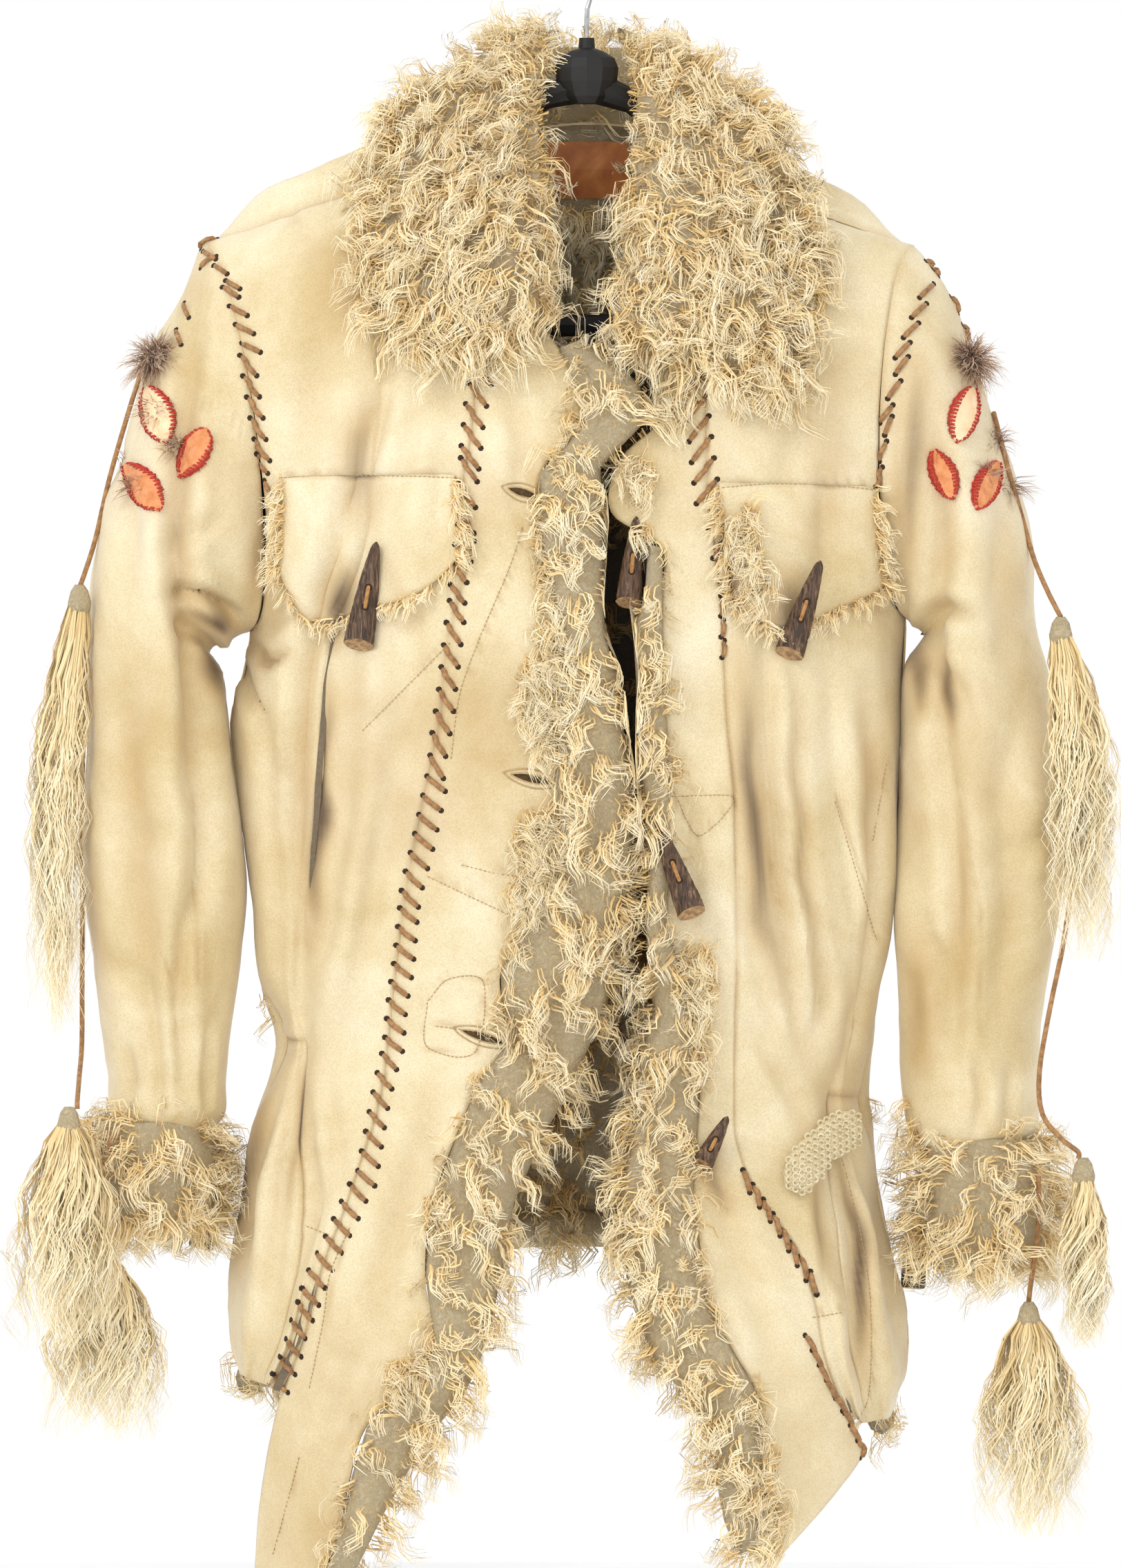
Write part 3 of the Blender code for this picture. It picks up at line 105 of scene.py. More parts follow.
def mix(a, b, t):
    return a + (b - a) * t


def add(name, data):
    """A new object in the scene."""
    obj = bpy.data.objects.new(name, data)
    bpy.context.scene.collection.objects.link(obj)
    return obj


def dress(obj, slot, *nodes):
    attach(obj, "root")
    if nodes:
        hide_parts(*nodes)


def refine(points, factor, closed=False):
    """A smooth curve through points along the first axis, with factor steps for each span."""
    p = np.asarray(points, float)
    n = len(p)
    out = []
    for i in range(n if closed else n - 1):
        b, c = p[i], p[(i + 1) % n]
        a = p[i - 1] if closed or i > 0 else 2 * b - c
        d = p[(i + 2) % n] if closed or i + 2 < n else 2 * c - b
        for s in np.arange(factor) / factor:
            out.append(0.5 * (2 * b + (c - a) * s + (2 * a - 5 * b + 4 * c - d) * s ** 2
                              + (3 * b - a - 3 * c + d) * s ** 3))
    if not closed:
        out.append(p[-1])
    return np.array(out)


# Camera square to the front, far off with a long lens; the picture is 1624 by 2271 plan units
PICTURE = (1624, 2271)
CAMERA_AWAY = 9.0
SENSOR_MM = 36.0


def camera():
    data = bpy.data.cameras.new("camera")
    obj = add("camera", data)
    middle = at(PICTURE[0] / 2.0, PICTURE[1] / 2.0, 0)
    obj.location = (middle[0], -CAMERA_AWAY, middle[2])
    obj.rotation_euler = (math.pi / 2, 0, 0)
    data.sensor_fit = "VERTICAL"
    data.sensor_height = SENSOR_MM
    data.lens = SENSOR_MM * CAMERA_AWAY / (PICTURE[1] * UNIT)
    data.clip_end = 60
    bpy.context.scene.camera = obj


camera()


# Materials
class Finish:
    """A node-based material with short names for the nodes that it uses."""

    def __init__(self, name, roughness=0.7, sheen=0.0):
        self.material = bpy.data.materials.new(name)
        self.material.use_nodes = True
        self.tree = self.material.node_tree
        self.shader = self.tree.nodes["Principled BSDF"]
        self.shader.inputs["Roughness"].default_value = roughness
        self.shader.inputs["Sheen Weight"].default_value = sheen
        self.place = self.tree.nodes.new("ShaderNodeTexCoord").outputs["Object"]
        self.height = None

    def scaled(self, scale):
        node = self.tree.nodes.new("ShaderNodeMapping")
        node.inputs["Scale"].default_value = scale
        self.tree.links.new(self.place, node.inputs["Vector"])
        return node.outputs["Vector"]

    def noise(self, scale, detail=3.0, rough=0.55, twist=0.0, place=None):
        node = self.tree.nodes.new("ShaderNodeTexNoise")
        node.inputs["Scale"].default_value = scale
        node.inputs["Detail"].default_value = detail
        node.inputs["Roughness"].default_value = rough
        node.inputs["Distortion"].default_value = twist
        self.tree.links.new(place or self.place, node.inputs["Vector"])
        return node.outputs["Fac"]

    def cells(self, scale):
        node = self.tree.nodes.new("ShaderNodeTexVoronoi")
        node.feature = "DISTANCE_TO_EDGE"
        node.inputs["Scale"].default_value = scale
        self.tree.links.new(self.place, node.inputs["Vector"])
        return node.outputs["Distance"]

    def attribute(self, name):
        node = self.tree.nodes.new("ShaderNodeAttribute")
        node.attribute_name = name
        return node.outputs["Fac"]

    def ramp(self, value, *stops):
        """Colours or greys at places from 0 to 1."""
        node = self.tree.nodes.new("ShaderNodeValToRGB")
        band = node.color_ramp
        while len(band.elements) < len(stops):
            band.elements.new(0.5)
        for element, (place, colour) in zip(band.elements, stops):
            element.position = place
            element.color = (*colour, 1.0) if hasattr(colour, "__len__") else (colour,) * 3 + (1.0,)
        self.tree.links.new(value, node.inputs["Fac"])
        return node.outputs["Color"]

    def blend(self, share, a, b, kind="MIX"):
        node = self.tree.nodes.new("ShaderNodeMix")
        node.data_type = "RGBA"
        node.blend_type = kind
        for socket, value in ((node.inputs[0], share), (node.inputs[6], a), (node.inputs[7], b)):
            if isinstance(value, (int, float)):
                socket.default_value = value
            elif isinstance(value, tuple):
                socket.default_value = (*value, 1.0)
            else:
                self.tree.links.new(value, socket)
        return node.outputs[2]

    def colour(self, value):
        self.tree.links.new(value, self.shader.inputs["Base Color"])

    def rough(self, value):
        self.tree.links.new(value, self.shader.inputs["Roughness"])

    def bump(self, height, distance, strength=1.0):
        node = self.tree.nodes.new("ShaderNodeBump")
        node.inputs["Distance"].default_value = distance
        node.inputs["Strength"].default_value = strength
        self.tree.links.new(height, node.inputs["Height"])
        if self.height is not None:
            self.tree.links.new(self.height, node.inputs["Normal"])
        self.height = node.outputs["Normal"]
        self.tree.links.new(self.height, self.shader.inputs["Normal"])


def srgb(text):
    """A hex colour as linear values."""
    channels = [int(text[k:k + 2], 16) / 255.0 for k in (0, 2, 4)]
    return tuple(c / 12.92 if c <= 0.04045 else ((c + 0.055) / 1.055) ** 2.4 for c in channels)


def hide_finish():
    f = Finish("hide_skin", 0.6, 0.25)
    tone = f.ramp(f.noise(9, 5, 0.6, 0.4),
                  (0.30, srgb("d2bb88")), (0.5, srgb("e5d4ab")), (0.72, srgb("f2e6c6")))
    spots = f.ramp(f.noise(46, 6, 0.65), (0.52, 0.0), (0.74, 1.0))
    faint = f.blend(1.0, spots, (0.30, 0.30, 0.30), "MULTIPLY")
    tone = f.blend(faint, tone, srgb("d6ba83"))
    fleck = f.ramp(f.noise(900, 2, 0.5), (0.36, 0.86), (0.6, 1.0))
    tone = f.blend(1.0, tone, fleck, "MULTIPLY")
    # Painted shade of the folds and shade lines, with darker seams and edges and random stains, blended
    # towards tan and deep brown
    painted_shade_and_stains = f.attribute("painted_shade_and_stains")
    tone = f.blend(painted_shade_and_stains, tone, f.ramp(painted_shade_and_stains, (0.45, srgb("b8935a")), (0.95, srgb("4e3418"))))
    f.colour(tone)
    f.rough(f.ramp(f.noise(60, 3), (0.3, 0.50), (0.7, 0.72)))
    f.bump(f.noise(70, 4, 0.6, 0.6), 0.0012, 0.55)
    f.bump(f.cells(520), 0.00025, 0.35)
    f.bump(f.noise(1400, 2), 0.00015, 0.5)
    return f.material


def fleece_base_finish():
    f = Finish("fleece_base", 0.95, 0.3)
    curls = f.noise(210, 6, 0.75, 3.0)
    tone = f.ramp(curls, (0.32, srgb("d6b376")), (0.5, srgb("eed6a2")), (0.66, srgb("fbedc8")))
    # Painted shade on the wool inside the panels, blended towards dark brown
    f.colour(f.blend(f.attribute("painted_shade_and_stains"), tone, srgb("5e3f1a")))
    f.bump(curls, 0.0045, 1.0)
    return f.material


def wool_finish(name, root, middle, tip):
    f = Finish(name, 0.62, 0.35)
    # Root to tip: tan roots and cream tips; the darker roots are partly painted shade deep in the fleece
    shade = f.ramp(f.attribute("along"), (0.0, srgb(root)), (0.35, srgb(middle)), (1.0, srgb(tip)))
    tint = f.ramp(f.attribute("tint"), (0.0, srgb("f3e6c6")), (0.35, srgb("fdf8ea")), (1.0, srgb("ffffff")))
    tone = f.blend(1.0, shade, tint, "MULTIPLY")
    patches = f.ramp(f.noise(30, 3), (0.35, srgb("f3e0b4")), (0.65, srgb("fffaf0")))
    f.colour(f.blend(0.35, tone, patches, "MULTIPLY"))
    return f.material


def horn_finish():
    f = Finish("horn_streaks", 0.42)
    drawn_out = f.scaled((1.0, 1.0, 0.16))
    streak = f.noise(420, 6, 0.7, 0.8, drawn_out)
    f.colour(f.ramp(streak, (0.34, srgb("20140c")), (0.46, srgb("47301f")), (0.58, srgb("735740")),
                    (0.74, srgb("b49a7c"))))
    f.bump(streak, 0.0012, 1.0)
    f.bump(f.noise(1200, 3), 0.0003, 0.6)
    return f.material


def cord_finish(name, dark, light):
    f = Finish(name, 0.6, 0.15)
    f.colour(f.ramp(f.noise(260, 4, 0.6), (0.3, srgb(dark)), (0.7, srgb(light))))
    f.bump(f.noise(700, 3), 0.0004, 0.6)
    return f.material


def plain_finish(name, dark, light, scale, roughness, bump):
    f = Finish(name, roughness)
    f.colour(f.ramp(f.noise(scale, 5, 0.6), (0.3, srgb(dark)), (0.7, srgb(light))))
    f.bump(f.noise(scale * 6, 3), bump, 0.6)
    return f.material


def label_finish():
    f = Finish("label_leather", 0.55)
    f.colour(f.ramp(f.noise(30, 5, 0.6, 0.6),
                    (0.3, srgb("a85a24")), (0.55, srgb("d68643")), (0.75, srgb("ecb27a"))))
    f.bump(f.cells(900), 0.0003, 0.5)
    return f.material


HIDE = hide_finish()
FLEECE_BASE = fleece_base_finish()
WOOL = wool_finish("wool_curls", "e8c987", "fbeac0", "fffbea")
# A darker copy of the wool: painted shade for wool deep inside the coat
SHADED_WOOL = wool_finish("wool_inside_painted_shade", "b08848", "d6b172", "f0d8a4")
LONG_WOOL = wool_finish("wool_long", "ead4a0", "fbf0d0", "fffcee")
PUFF_WOOL = wool_finish("wool_brown", "6a4c3c", "a58570", "dcc9b6")
HORN = horn_finish()
LACE = cord_finish("lace_thong", "7a5229", "b98a55")
LOOP = cord_finish("loop_thong", "8f5c26", "c99350")
# Dark discs at the lace and toggle holes: painted shade inside the holes
HOLE_SHADE = plain_finish("lace_hole_shade", "241508", "3c2a18", 300, 0.9, 0.0002)
SLIT = plain_finish("slit_shade", "33230f", "5c4524", 300, 0.9, 0.0002)
THREAD = plain_finish("stitch_thread", "a88a5a", "cbb184", 800, 0.8, 0.0001)
RED_THREAD = plain_finish("red_thread", "a3241b", "d4402f", 800, 0.7, 0.0001)
SUEDE = plain_finish("peach_suede", "cf7f4c", "eda673", 160, 0.9, 0.0003)
PETAL = plain_finish("petal_leather", "f0c795", "fae3bd", 120, 0.7, 0.0004)
CUT_HORN = plain_finish("horn_cut", "6b4c30", "c9a577", 300, 0.6, 0.0003)
DARK_HORN = plain_finish("dark_horn", "1f140c", "49311d", 240, 0.5, 0.0003)
PLASTIC = plain_finish("hanger_plastic", "080706", "12100e", 60, 0.6, 0.00005)
WIRE = plain_finish("hook_wire", "9a9a9a", "c8c8c8", 200, 0.3, 0.00003)
WIRE.node_tree.nodes["Principled BSDF"].inputs["Metallic"].default_value = 1.0
KNIT = plain_finish("knit_wool", "d8c496", "f3e8c8", 500, 0.9, 0.0008)
LABEL = label_finish()


# Thongs that hold the tassels: plan x, z and depth in mm
THONG_RADIUS = 0.0017
THONGS = {
    "thong_left_1": [(215, 508, -1), (192, 578, -1), (160, 688, -2), (140, 779, -16), (127, 826, -33),
                     (119, 849, -35)],
    "thong_left_2": [(124, 905, -4), (122, 1050, -8), (118, 1190, -10), (120, 1300, -12), (120, 1420, -14),
                     (120, 1510, -18), (119, 1555, -52), (118, 1590, -77), (118, 1602, -79)],
    "thong_left_3": [(166, 1638, -51), (157, 1690, -52), (147, 1746, -45), (150, 1776, -46),
                     (150, 1786, -38), (150, 1794, -38)],
    "thong_right_1": [(1439, 598, -8), (1458, 678, -28), (1481, 759, -27), (1496, 812, -32),
                      (1514, 858, -48), (1532, 895, -58)],
    "thong_right_2": [(1549, 1170, -4), (1553, 1260, -10), (1539, 1360, -30), (1517, 1460, -48),
                      (1501, 1550, -62), (1505, 1610, -66), (1533, 1646, -67), (1556, 1664, -66),
                      (1557, 1674, -66)],
    "thong_right_3": [(1501, 1700, -47), (1501, 1760, -47), (1498, 1801, -45), (1490, 1852, -50),
                      (1487, 1881, -44)],
}


def thongs():
    for name, rows in THONGS.items():
        path = refine([at(*row) for row in rows], 4)
        curve = bpy.data.curves.new(name, "CURVE")
        curve.dimensions = "3D"
        curve.bevel_depth = THONG_RADIUS
        curve.bevel_resolution = 3
        curve.use_fill_caps = True
        spline = curve.splines.new("POLY")
        spline.points.add(len(path) - 1)
        for point, p in zip(spline.points, path):
            point.co = (*p, 1.0)
        curve.materials.append(LACE)
        obj = add(name + "_cord", curve)
        dress(obj, "thong", name)


thongs()

# Armhole and sleeve rings: outer x, outer z, inner x, inner z, half depth in mm, bulge to the body
RINGS_L = [
    (292, 350, 362, 915, 58, 48),
    (259, 440, 347, 918, 66, 34),
    (215, 520, 336, 922, 70, 20),
    (180, 640, 327, 927, 70, 8),
    (150, 740, 319, 933, 69, 2),
    (128, 845, 313, 942, 67, 0),
    (128, 960, 318, 1000, 65, 0),
    (129, 1088, 333, 1090, 62, 0),
    (122, 1192, 345, 1190, 60, 0),
    (125, 1290, 358, 1290, 58, 0),
    (143, 1400, 349, 1400, 54, 0),
    (150, 1480, 337, 1480, 51, 0),
    (158, 1560, 330, 1560, 48, 0),
    (160, 1610, 328, 1610, 47, 0),
]
RINGS_R = [
    (1325, 354, 1312, 895, 58, -48),
    (1375, 425, 1325, 899, 64, -34),
    (1412, 518, 1332, 904, 66, -20),
    (1438, 610, 1337, 910, 66, -8),
    (1468, 690, 1340, 916, 66, -2),
    (1490, 793, 1340, 926, 66, 0),
    (1498, 907, 1312, 985, 64, 0),
    (1522, 1000, 1306, 1060, 62, 0),
    (1545, 1130, 1303, 1160, 60, 0),
    (1547, 1218, 1300, 1250, 58, 0),
    (1537, 1306, 1299, 1330, 55, 0),
    (1521, 1399, 1302, 1425, 52, 0),
    (1508, 1480, 1304, 1500, 50, 0),
    (1502, 1560, 1308, 1575, 48, 0),
    (1501, 1632, 1318, 1640, 47, 0),
]

# Front rows from shoulder to hem: side edge, main fold, laced seam, edge of the hide, edge of the fleece.
# The first ten side edges come from the armhole ring. No side edge means that only the tail goes on.
ROWS_L = [
    (None, (470, 290), (640, 258), (668, 285), (690, 280)),
    (None, (485, 330), (655, 300), (705, 335), (730, 328)),
    (None, (505, 385), (672, 352), (742, 400), (765, 390)),
    (None, (530, 445), (684, 415), (775, 458), (800, 446)),
    (None, (552, 515), (690, 490), (812, 512), (842, 500)),
    (None, (560, 580), (690, 565), (842, 572), (922, 563)),
    (None, (552, 650), (684, 640), (843, 625), (932, 612)),
    (None, (542, 715), (672, 712), (782, 692), (866, 680)),
    (None, (532, 790), (682, 790), (782, 790), (868, 790)),
    (None, (508, 865), (667, 860), (800, 860), (869, 860)),
    ((362, 915), (488, 930), (652, 925), (818, 925), (872, 925)),
    ((350, 975), (478, 985), (645, 985), (818, 985), (892, 985)),
    ((332, 1047), (473, 1047), (638, 1047), (806, 1047), (897, 1047)),
    ((343, 1156), (466, 1156), (615, 1156), (803, 1156), (915, 1156)),
    ((356, 1259), (456, 1259), (596, 1259), (812, 1259), (912, 1259)),
    ((366, 1321), (448, 1321), (587, 1321), (775, 1325), (893, 1325)),
    ((372, 1399), (440, 1399), (577, 1399), (728, 1399), (890, 1399)),
    ((391, 1451), (438, 1451), (571, 1451), (728, 1451), (875, 1451)),
    ((414, 1506), (446, 1508), (565, 1508), (733, 1512), (848, 1512)),
    ((398, 1560), (440, 1560), (558, 1560), (697, 1560), (822, 1565)),
    ((366, 1633), (440, 1635), (540, 1635), (665, 1633), (786, 1633)),
    ((350, 1733), (445, 1735), (507, 1735), (628, 1733), (742, 1733)),
    ((330, 1840), (432, 1842), (466, 1842), (618, 1840), (725, 1840)),
    ((330, 1940), (408, 1935), (440, 1938), (632, 1940), (700, 1945)),
    ((346, 1990), (382, 2000), (410, 2008), (590, 2000), (672, 2008)),
    (None, None, (394, 2065), (532, 2060), (625, 2062)),
    (None, None, (384, 2130), (512, 2125), (590, 2122)),
    (None, None, (375, 2200), (496, 2195), (553, 2185)),
    (None, None, (369, 2288), (470, 2282), (505, 2282)),
]
ROWS_R = [
    (None, (1150, 306), (1066, 270), (1040, 292), (1018, 285)),
    (None, (1160, 340), (1050, 308), (1003, 338), (980, 330)),
    (None, (1172, 392), (1035, 356), (975, 402), (950, 392)),
    (None, (1182, 450), (1025, 417), (956, 462), (930, 450)),
    (None, (1190, 520), (1018, 490), (948, 538), (925, 530)),
    (None, (1190, 590), (1018, 565), (957, 608), (930, 600)),
    (None, (1188, 655), (1022, 640), (899, 668), (880, 668)),
    (None, (1185, 720), (1024, 712), (884, 745), (870, 745)),
    (None, (1183, 795), (1034, 790), (957, 797), (940, 797)),
    (None, (1187, 865), (1042, 860), (957, 860), (937, 860)),
    ((1312, 895), (1193, 925), (1046, 925), (957, 925), (920, 925)),
    ((1310, 985), (1198, 987), (1048, 990), (959, 987), (924, 985)),
    ((1309, 1060), (1203, 1060), (1052, 1060), (963, 1060), (925, 1060)),
    ((1306, 1160), (1212, 1160), (1061, 1160), (967, 1160), (933, 1160)),
    ((1299, 1265), (1230, 1265), (1065, 1265), (966, 1265), (940, 1265)),
    ((1289, 1345), (1236, 1345), (1066, 1345), (962, 1345), (938, 1345)),
    ((1273, 1425), (1230, 1422), (1065, 1420), (985, 1402), (942, 1400)),
    ((1262, 1495), (1222, 1490), (1063, 1480), (1000, 1460), (950, 1460)),
    ((1246, 1589), (1198, 1585), (1062, 1575), (1012, 1560), (928, 1560)),
    ((1258, 1645), (1200, 1650), (1066, 1650), (1008, 1640), (915, 1640)),
    ((1276, 1725), (1204, 1728), (1095, 1725), (1002, 1720), (900, 1720)),
    ((1292, 1810), (1211, 1810), (1150, 1800), (1012, 1800), (903, 1800)),
    ((1314, 1900), (1224, 1895), (1178, 1880), (1025, 1880), (920, 1885)),
    ((1314, 1985), (1238, 1975), (1192, 1960), (1060, 1950), (948, 1955)),
    ((1292, 2052), (1254, 2056), (1222, 2040), (1095, 2010), (1000, 2020)),
    (None, None, (1250, 2094), (1100, 2080), (1036, 2075)),
    (None, None, (1215, 2150), (1105, 2130), (1038, 2130)),
    (None, None, (1168, 2200), (1104, 2180), (1050, 2190)),
    (None, None, (1128, 2243), (1098, 2222), (1068, 2236)),
]
# Rows of the armpit, the waist and the skirt's end, and columns of the peplum's inner edge and the laced seam
ARMPIT = 10
WAIST = 18
SKIRT_END = 24
PEPLUM = 3
LACED = 7

# Depth of each row in mm at the middle: front, then back, and height of the back's middle
FRONT_DEPTH = [22, 34, 50, 64, 76, 85, 91, 95, 97, 98, 98, 96, 94, 90, 86, 83, 80, 78, 78, 84, 92, 99,
               104, 108, 110, 112, 114, 116, 118]
BACK_DEPTH = [46, 56, 62, 68, 74, 79, 83, 86, 87, 87, 86, 85, 83, 80, 77, 75, 73, 72, 72, 77, 84, 91,
              97, 102, 106]
BACK_MIDDLE = [170, 196, 232, 280, 338, 408, 492, 582, 680, 780, 880, 950, 1020, 1110, 1200, 1280,
               1350, 1410, 1465, 1510, 1560, 1612, 1662, 1710, 1755]
# Depth in mm of the main fold along each row
FOLD_L = [0, 0, 0, 0, 3, 6, 9, 10, 11, 12, 12, 12, 12, 12, 12, 11, 10, 9, 7, 7, 8, 8, 7, 4, 0]
FOLD_R = [0, 0, 0, 0, 0, 0, 1, 2, 3, 4, 4, 5, 5, 5, 5, 6, 6, 7, 8, 9, 10, 10, 9, 7, 4]

# What a front's columns add in mm at the skirt's flare and at the waist, and their shares of the main fold
FLARE = {1: -5.0, 2: 5.0, 4: -4.0, 5: 3.0, 6: -2.0}
PINCH = {1: 2.0, 2: -2.0, 4: -2.5, 5: 2.0, 6: -1.5}
FOLD_SHARE = {2: 0.25, 3: 1.0, 4: 0.15, 5: -0.28, 6: 0.12}
# Rows over which the shoulder seam's curve fades out
SHOULDER_ROWS = 5

# Shoulder seam, and the ridge behind it: x, seam z, ridge z
SHOULDER_L = [(292, 350, 350), (321, 345, 306), (362, 331, 270), (445, 302, 241), (554, 268, 203),
              (640, 258, 184)]
SHOULDER_R = [(1066, 270, 212), (1133, 296, 240), (1175, 308, 250), (1257, 335, 285),
              (1300, 352, 318), (1325, 354, 354)]


def table(rows, x, column=1):
    return float(np.interp(x, [r[0] for r in rows], [r[column] for r in rows]))


def ring_point(ring, angle):
    """A point on an armhole or sleeve ring: angle 0 on top, pi underneath, negative behind."""
    ox, oz, ix, iz, depth, bulge = ring
    share = (1.0 - math.cos(angle)) / 2.0
    side = math.sin(abs(angle))
    x = mix(ox, ix, share) + bulge * side
    z = mix(oz, iz, share)
    return at(x, z, -depth * math.sin(angle))


def across(t, power):
    """Rise of a panel from its outer edge to the middle."""
    t = min(max(t, 0.0), 1.0)
    return (1.0 - (1.0 - t) ** 2.3) ** power


def edge_power(row):
    """Round at a side seam, flatter at an armhole."""
    return float(np.interp(row, [0, 4, 9, 10], [1.0, 0.95, 0.62, 0.5]))


def front_columns(side, main, laced, edge):
    """Plan points of one row of a front, from the side to its front edge."""
    side, main, laced, edge = (np.array(p, float) for p in (side, main, laced, edge))
    near = min(0.42, 22.0 / max(abs(main[0] - side[0]), 1.0))
    far = min(0.30, 22.0 / max(abs(laced[0] - main[0]), 1.0))
    return [side, mix(side, main, 0.36 * (1 - near) + 0.05), mix(side, main, 1 - near), main,
            mix(main, laced, far), mix(main, laced, mix(far, 1, 0.35)),
            mix(main, laced, mix(far, 1, 0.68)), laced,
            mix(laced, edge, 0.33), mix(laced, edge, 0.67), edge]


def waist_shape(row):
    """Shares of the skirt's flare and of the pinch at the waist in a row."""
    return max(0.0, (row - WAIST) / 6.0), max(0.0, 1.0 - abs(row - WAIST) / 1.5)


def front_grid(rows, rings, folds, shoulder):
    """Rows of points of one front; below the skirt only the tail counts."""
    grid = []
    for i, (side, main, laced, edge, _) in enumerate(rows):
        start = 0.0
        if i <= ARMPIT:
            p = ring_point(rings[0], math.pi * i / ARMPIT)
            side = (plan_x(p), plan_z(p))
            start = p[1] * 1000.0
        tail = i > SKIRT_END
        if tail:
            side = (rows[SKIRT_END][0][0], laced[1])
            main = ((side[0] + laced[0]) / 2.0, laced[1])
        columns = front_columns(side, main, laced, edge)
        flare, pinch = waist_shape(i)
        row = []
        for j, (x, z) in enumerate(columns):
            if 0 < j < LACED and i < SHOULDER_ROWS:
                way = (x - columns[0][0]) / (columns[LACED][0] - columns[0][0])
                line = mix(columns[0][1], columns[LACED][1], way)
                flat = mix(rings[0][1], rows[0][2][1], way)
                z = line + (table(shoulder, x) - flat) * (1.0 - i / SHOULDER_ROWS)
            share = (x - side[0]) / (MID_X - side[0])
            depth = start + (-FRONT_DEPTH[i] - start) * across(share, edge_power(i))
            if not tail:
                depth += folds[i] * FOLD_SHARE.get(j, 0.0)
                depth += flare * FLARE.get(j, 0.0)
                depth += pinch * PINCH.get(j, 0.0)
            row.append(at(x, z, depth))
        grid.append(row)
    return grid


# Points of the back's neckline: x, z, depth in mm
NECK = [(700, 205, 32), (760, 182, 40), (815, 172, 45), (853, 170, 46), (891, 172, 45), (946, 184, 40),
        (1006, 212, 32)]
# How far down each of the first rows of the back is, as a share of the way to the armpit, and how full it is
BACK_DOWN = [0, 0.0, 0.035, 0.10, 0.19, 0.30, 0.44, 0.58, 0.72, 0.86, 1.0]
BACK_FULL = [0, 0.0, 0.45, 0.72, 0.88, 0.96, 1]
# Where even columns start, as a share of the width
EVEN_START = 0.003943


def back_grid(front_l, front_r):
    """Rows of points of the back, from the left side seam to the right one."""
    seam = LACED + 1
    count = 2 * seam + len(NECK)
    top_x = ([plan_x(p) for p in front_l[0][:seam]] + [n[0] for n in NECK]
             + [plan_x(p) for p in reversed(front_r[0][:seam])])
    top = list(front_l[0][:seam]) + [at(*n) for n in NECK] + list(reversed(front_r[0][:seam]))
    grid = []
    for i in range(SKIRT_END + 1):
        if i <= ARMPIT:
            left = ring_point(RINGS_L[0], -math.pi * i / ARMPIT)
            right = ring_point(RINGS_R[0], -math.pi * i / ARMPIT)
        else:
            left = front_l[i][0]
            right = front_r[i][0]
        if i == 0:
            grid.append([left] + top[1:-1] + [right])
            continue
        lx, lz, ly = plan_x(left), plan_z(left), left[1] * 1000
        rx, rz, ry = plan_x(right), plan_z(right), right[1] * 1000
        flare, pinch = waist_shape(i)
        row = [left]
        for j in range(1, count - 1):
            f_top = (top_x[j] - top_x[0]) / (top_x[-1] - top_x[0])
            f_even = 0.5 - 0.5 * math.cos(math.pi * (0.04 + 0.92 * j / (count - 1)))
            f_even = (f_even - EVEN_START) / (1 - 2 * EVEN_START)
            f_even = min(max(f_even, 0.0), 1.0)
            f = mix(f_top, f_even, min(1.0, i / 9.0))
            x = mix(lx, rx, f)
            t = 2.0 * min(f, 1.0 - f)
            rise = across(min(1.0, t * 1.25), edge_power(i))
            depth = mix(mix(ly, ry, f), BACK_DEPTH[i], rise)
            bow = (4.0 * f * (1.0 - f)) ** 0.8
            if i <= ARMPIT:
                at_neck = seam <= j < count - seam
                ridge = ridge_z(x)
                even_down = (1.0 - math.cos(math.pi * i / ARMPIT)) / 2.0
                down = mix(even_down, BACK_DOWN[i], min(1.0, t * 2.2))
                low = mix(mix(RINGS_L[0][3], RINGS_R[0][3], f), BACK_MIDDLE[ARMPIT], bow)
                z = ridge + (low - ridge) * down
                if i == 1 and at_neck:
                    z = NECK[j - seam][1] + 16
                depth_top = NECK[j - seam][2] + 10 if at_neck else 4.0
                full = mix(1.0, BACK_FULL[min(i, 6)], min(1.0, t * 4.0))
                depth = mix(depth_top, depth, full)
            else:
                z = mix(mix(lz, rz, f), BACK_MIDDLE[i], bow)
            depth += flare * 7.0 * math.cos(j * math.pi * 0.5)
            depth += pinch * 2.5 * math.cos(j * math.pi)
            spread = math.exp(-((i - WAIST) / 1.8) ** 2) * math.exp(-((t - 0.08) / 0.10) ** 2)
            x += spread * (-34.0 if f < 0.5 else 34.0)
            row.append(at(x, z, depth))
        grid.append(row + [right])
    return grid


def ridge_z(x):
    """Height of the shoulder ridge and the back neckline over x."""
    if x <= 640:
        return table(SHOULDER_L, x, 2)
    if x >= 1066:
        return table(SHOULDER_R, x, 2)
    return float(np.interp(x, [640, 700, 760, 853, 946, 1006, 1066], [184, 240, 228, 218, 230, 248, 212]))


# Fine grids of the sheet that every hide panel is cut from
def fine_grid(coarse, step, round_columns=False):
    down = refine(np.array(coarse, float), step)
    return refine(down.swapaxes(0, 1), step, round_columns).swapaxes(0, 1)


def unit(v):
    return v / np.maximum(np.linalg.norm(v, axis=-1, keepdims=True), 1e-12)


def grid_normals(points, flip, round_columns=False):
    down = np.gradient(points, axis=0)
    if round_columns:
        side = np.roll(points, -1, axis=1) - np.roll(points, 1, axis=1)
    else:
        side = np.gradient(points, axis=1)
    n = unit(np.cross(down, side))
    return -n if flip else n


